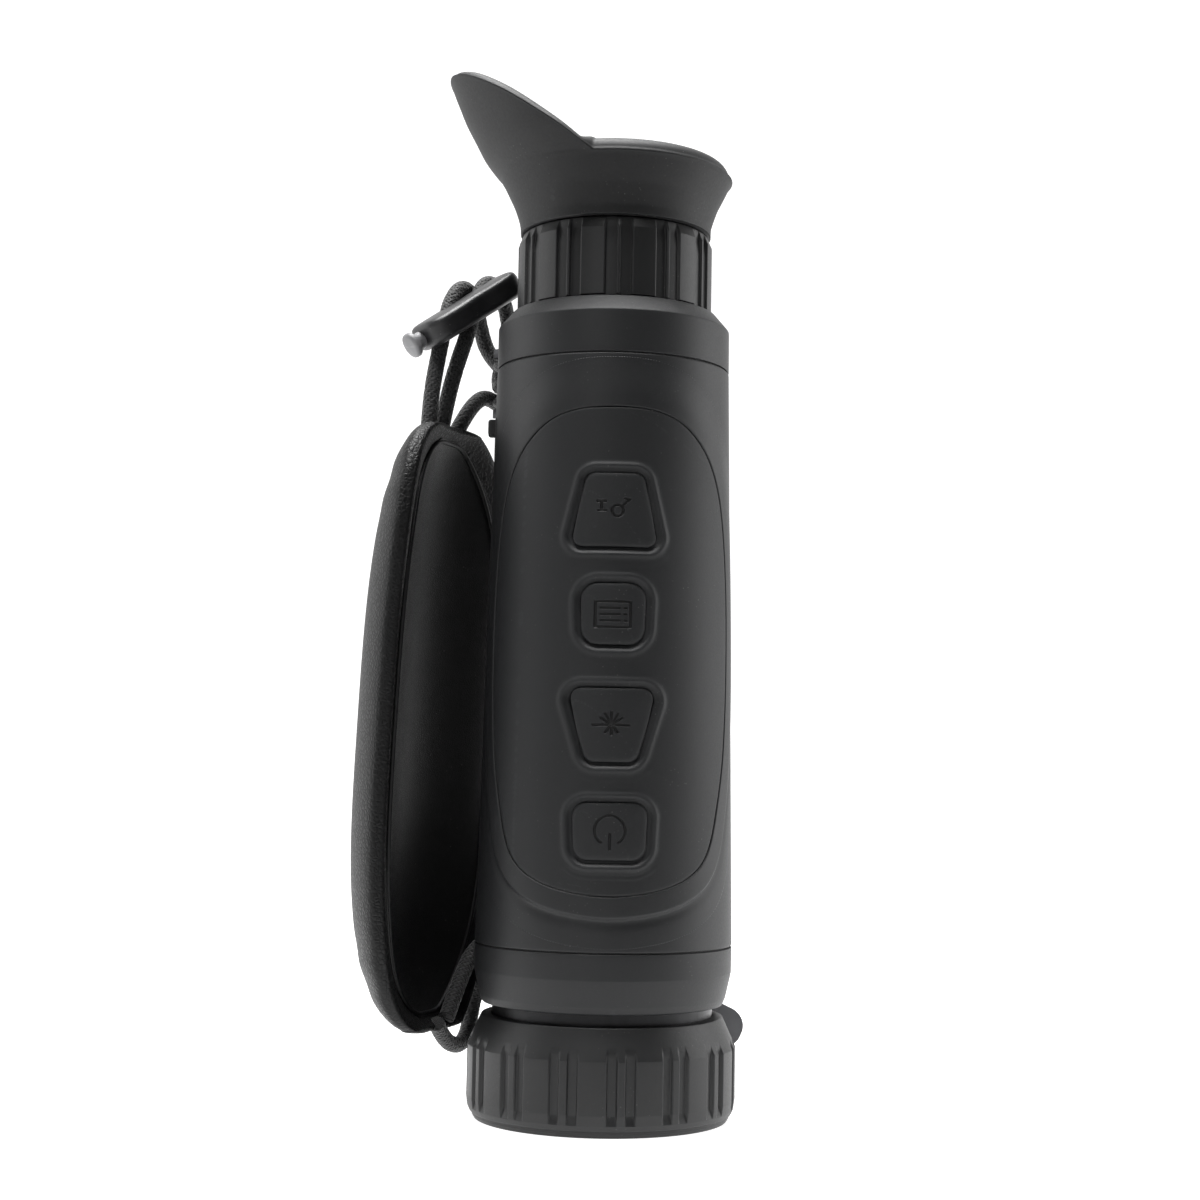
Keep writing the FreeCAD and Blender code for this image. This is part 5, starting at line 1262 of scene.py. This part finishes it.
# ---------------------------------------------------------------- operators
class RANGEFINDER_OT_stage(bpy.types.Operator):
    """Camera, pale floor and soft studio lights"""
    bl_idname = "rangefinder.stage"
    bl_label = "Stage and camera"

    def execute(self, context):
        s = context.scene.rangefinder
        data = bpy.data.cameras.new("camera")
        data.sensor_width = 36.0
        data.lens = 62.3
        data.clip_start, data.clip_end = 0.01, 20
        camera = bpy.data.objects.new("camera", data)
        context.scene.collection.objects.link(camera)
        context.scene.camera = camera
        camera.location = (-0.002 + CAMERA_DISTANCE * math.sin(CAMERA_SWING),
                           -CAMERA_DISTANCE * math.cos(CAMERA_SWING), CAMERA_HEIGHT)
        turn = (Matrix.Rotation(CAMERA_SWING, 4, "Z") @ Matrix.Rotation(CAMERA_PITCH, 4, "X")
                @ Matrix.Rotation(CAMERA_ROLL, 4, "Z"))
        camera.rotation_euler = turn.to_euler()
        bend = np.linspace(-math.pi / 2, 0, 24)
        curved = np.stack([1.2 + 0.8 * np.cos(bend), 0.8 + 0.8 * np.sin(bend)], -1)
        profile = np.concatenate([[[-2.0, 0.0]], curved, [[2.0, 3.0]]])
        side = np.array([-3.0, 3.0])
        points = np.stack([np.repeat(side[:, None], len(profile), 1), *np.broadcast_arrays(
            profile[None, :, 0], profile[None, :, 1] + 0 * side[:, None])], -1)
        floor_mesh = bpy.data.meshes.new("floor")
        floor_mesh.from_pydata(points.reshape(-1, 3).tolist(), [],
                               grid_quads(2, len(profile), False, False).tolist())
        floor_mesh.shade_smooth()
        floor = bpy.data.objects.new("floor", floor_mesh)
        context.scene.collection.objects.link(floor)
        material, tree, shader, place = blank_material("Pale floor")
        noise = add_node(tree, "ShaderNodeTexNoise", None, Vector=place.outputs["Object"], Scale=3.0,
                         Detail=2.0)
        tree.links.new(mix_colour(tree, noise.outputs["Fac"], (0.42, 0.42, 0.42, 1), (0.45, 0.45, 0.45, 1)),
                       shader.inputs["Base Color"])
        shader.inputs["Roughness"].default_value = 0.9
        parts = add_node(tree, "ShaderNodeSeparateXYZ", None, Vector=place.outputs["Object"])
        glow = map_range(tree, parts.outputs[1], -0.14, -0.04, 0.0, s.floor_glow)
        tree.links.new(glow, shader.inputs["Emission Color"])
        shader.inputs["Emission Strength"].default_value = 1.0
        floor_mesh.materials.append(material)
        world = bpy.data.worlds.new("studio")
        world.use_nodes = True
        world.node_tree.nodes["Background"].inputs[0].default_value = (1, 1, 1, 1)
        world.node_tree.nodes["Background"].inputs[1].default_value = s.room_light
        context.scene.world = world
        context.scene.view_settings.view_transform = "Standard"
        for name, place, size, power in (("key_light", (-0.75, 0.06, 0.35), 0.6, s.key_light),
                                         ("fill_light", (0.80, 0.10, 0.30), 0.6, s.fill_light),
                                         ("top_light", (-0.05, 0.02, 1.05), 0.7, s.top_light),
                                         ("front_light", (-0.30, -0.85, 0.35), 0.25, s.front_light)):
            lamp = bpy.data.lights.new(name, "AREA")
            lamp.shape = "SQUARE"
            lamp.size = size
            lamp.energy = power
            holder = bpy.data.objects.new(name, lamp)
            holder.location = place
            aim = Vector((0, 0, 0.11)) - Vector(place)
            holder.rotation_euler = aim.to_track_quat("-Z", "Y").to_euler()
            context.scene.collection.objects.link(holder)
        return {"FINISHED"}


class RANGEFINDER_OT_cords(bpy.types.Operator):
    """Braided strap cords, thin leash and the loops round the lug bars"""
    bl_idname = "rangefinder.cords"
    bl_label = "Cords"

    def execute(self, context):
        s = context.scene.rangefinder
        for name in ("front_cord", "middle_cord", "lower_cord"):
            make_cord(name, s.cord_diameter, "braid")
        for name in ("return_cord", "diagonal_cord"):
            make_cord(name, s.cord_diameter, "braid")
        make_cord("leash_string", s.string_diameter, "string")
        make_bar_loops()
        make_leash_knot()
        return {"FINISHED"}


class RANGEFINDER_OT_housing(bpy.types.Operator):
    """Housing skin, the raised land round the keypad, and the two caps"""
    bl_idname = "rangefinder.housing"
    bl_label = "Housing"

    def execute(self, context):
        make_housing_skin()
        make_saddle_land()
        make_caps()
        return {"FINISHED"}


class RANGEFINDER_OT_keypad(bpy.types.Operator):
    """Silicone keypad and its four keys"""
    bl_idname = "rangefinder.keypad"
    bl_label = "Keypad"

    def execute(self, context):
        make_keypad_skin()
        for name in KEYS:
            make_key(name)
        return {"FINISHED"}


class RANGEFINDER_OT_rings(bpy.types.Operator):
    """Ribbed focus and diopter rings"""
    bl_idname = "rangefinder.rings"
    bl_label = "Rings"

    def execute(self, context):
        make_rings()
        return {"FINISHED"}


class RANGEFINDER_OT_eyecup(bpy.types.Operator):
    """Winged rubber eyecup"""
    bl_idname = "rangefinder.eyecup"
    bl_label = "Eyecup"

    def execute(self, context):
        make_eyecup()
        return {"FINISHED"}


class RANGEFINDER_OT_strap(bpy.types.Operator):
    """Padded hand strap, its trim and the cord lock"""
    bl_idname = "rangefinder.strap"
    bl_label = "Hand strap"

    def execute(self, context):
        make_cushion()
        make_cushion_trim()
        make_cord_lock()
        return {"FINISHED"}


class RANGEFINDER_OT_finishes(bpy.types.Operator):
    """Finishes of the parts that keep their own shape"""
    bl_idname = "rangefinder.finishes"
    bl_label = "Finishes"

    def execute(self, context):
        slots = {entry["node"]: entry["material_slot"] for entry in frame["record"]["subparts"]}
        for node, piece in frame["nodes"].items():
            finish = finish_named(SLOT_FINISH[slots[node]])
            piece.data.materials.clear()
            piece.data.materials.append(finish)
        return {"FINISHED"}


OPERATORS = (RANGEFINDER_OT_stage, RANGEFINDER_OT_cords, RANGEFINDER_OT_housing, RANGEFINDER_OT_keypad,
             RANGEFINDER_OT_rings, RANGEFINDER_OT_eyecup, RANGEFINDER_OT_strap, RANGEFINDER_OT_finishes)


class RANGEFINDER_PT_panel(bpy.types.Panel):
    """Lists the pieces and their sizes and colours"""
    bl_idname = "RANGEFINDER_PT_panel"
    bl_label = "Rangefinder"
    bl_space_type = "VIEW_3D"
    bl_region_type = "UI"
    bl_category = "Rangefinder"

    def draw(self, context):
        for operator in OPERATORS:
            self.layout.operator(operator.bl_idname)
        for name in RangefinderSettings.__annotations__:
            self.layout.prop(context.scene.rangefinder, name)


CLASSES = (RangefinderSettings, *OPERATORS, RANGEFINDER_PT_panel)


def register():
    for cls in CLASSES:
        bpy.utils.register_class(cls)
    bpy.types.Scene.rangefinder = bpy.props.PointerProperty(type=RangefinderSettings)


def unregister():
    del bpy.types.Scene.rangefinder
    for cls in reversed(CLASSES):
        bpy.utils.unregister_class(cls)


def main():
    register()
    bpy.ops.rangefinder.stage()
    bpy.ops.rangefinder.cords()
    bpy.ops.rangefinder.housing()
    bpy.ops.rangefinder.keypad()
    bpy.ops.rangefinder.rings()
    bpy.ops.rangefinder.eyecup()
    bpy.ops.rangefinder.strap()
    bpy.ops.rangefinder.finishes()


if __name__ == "__main__":
    main()
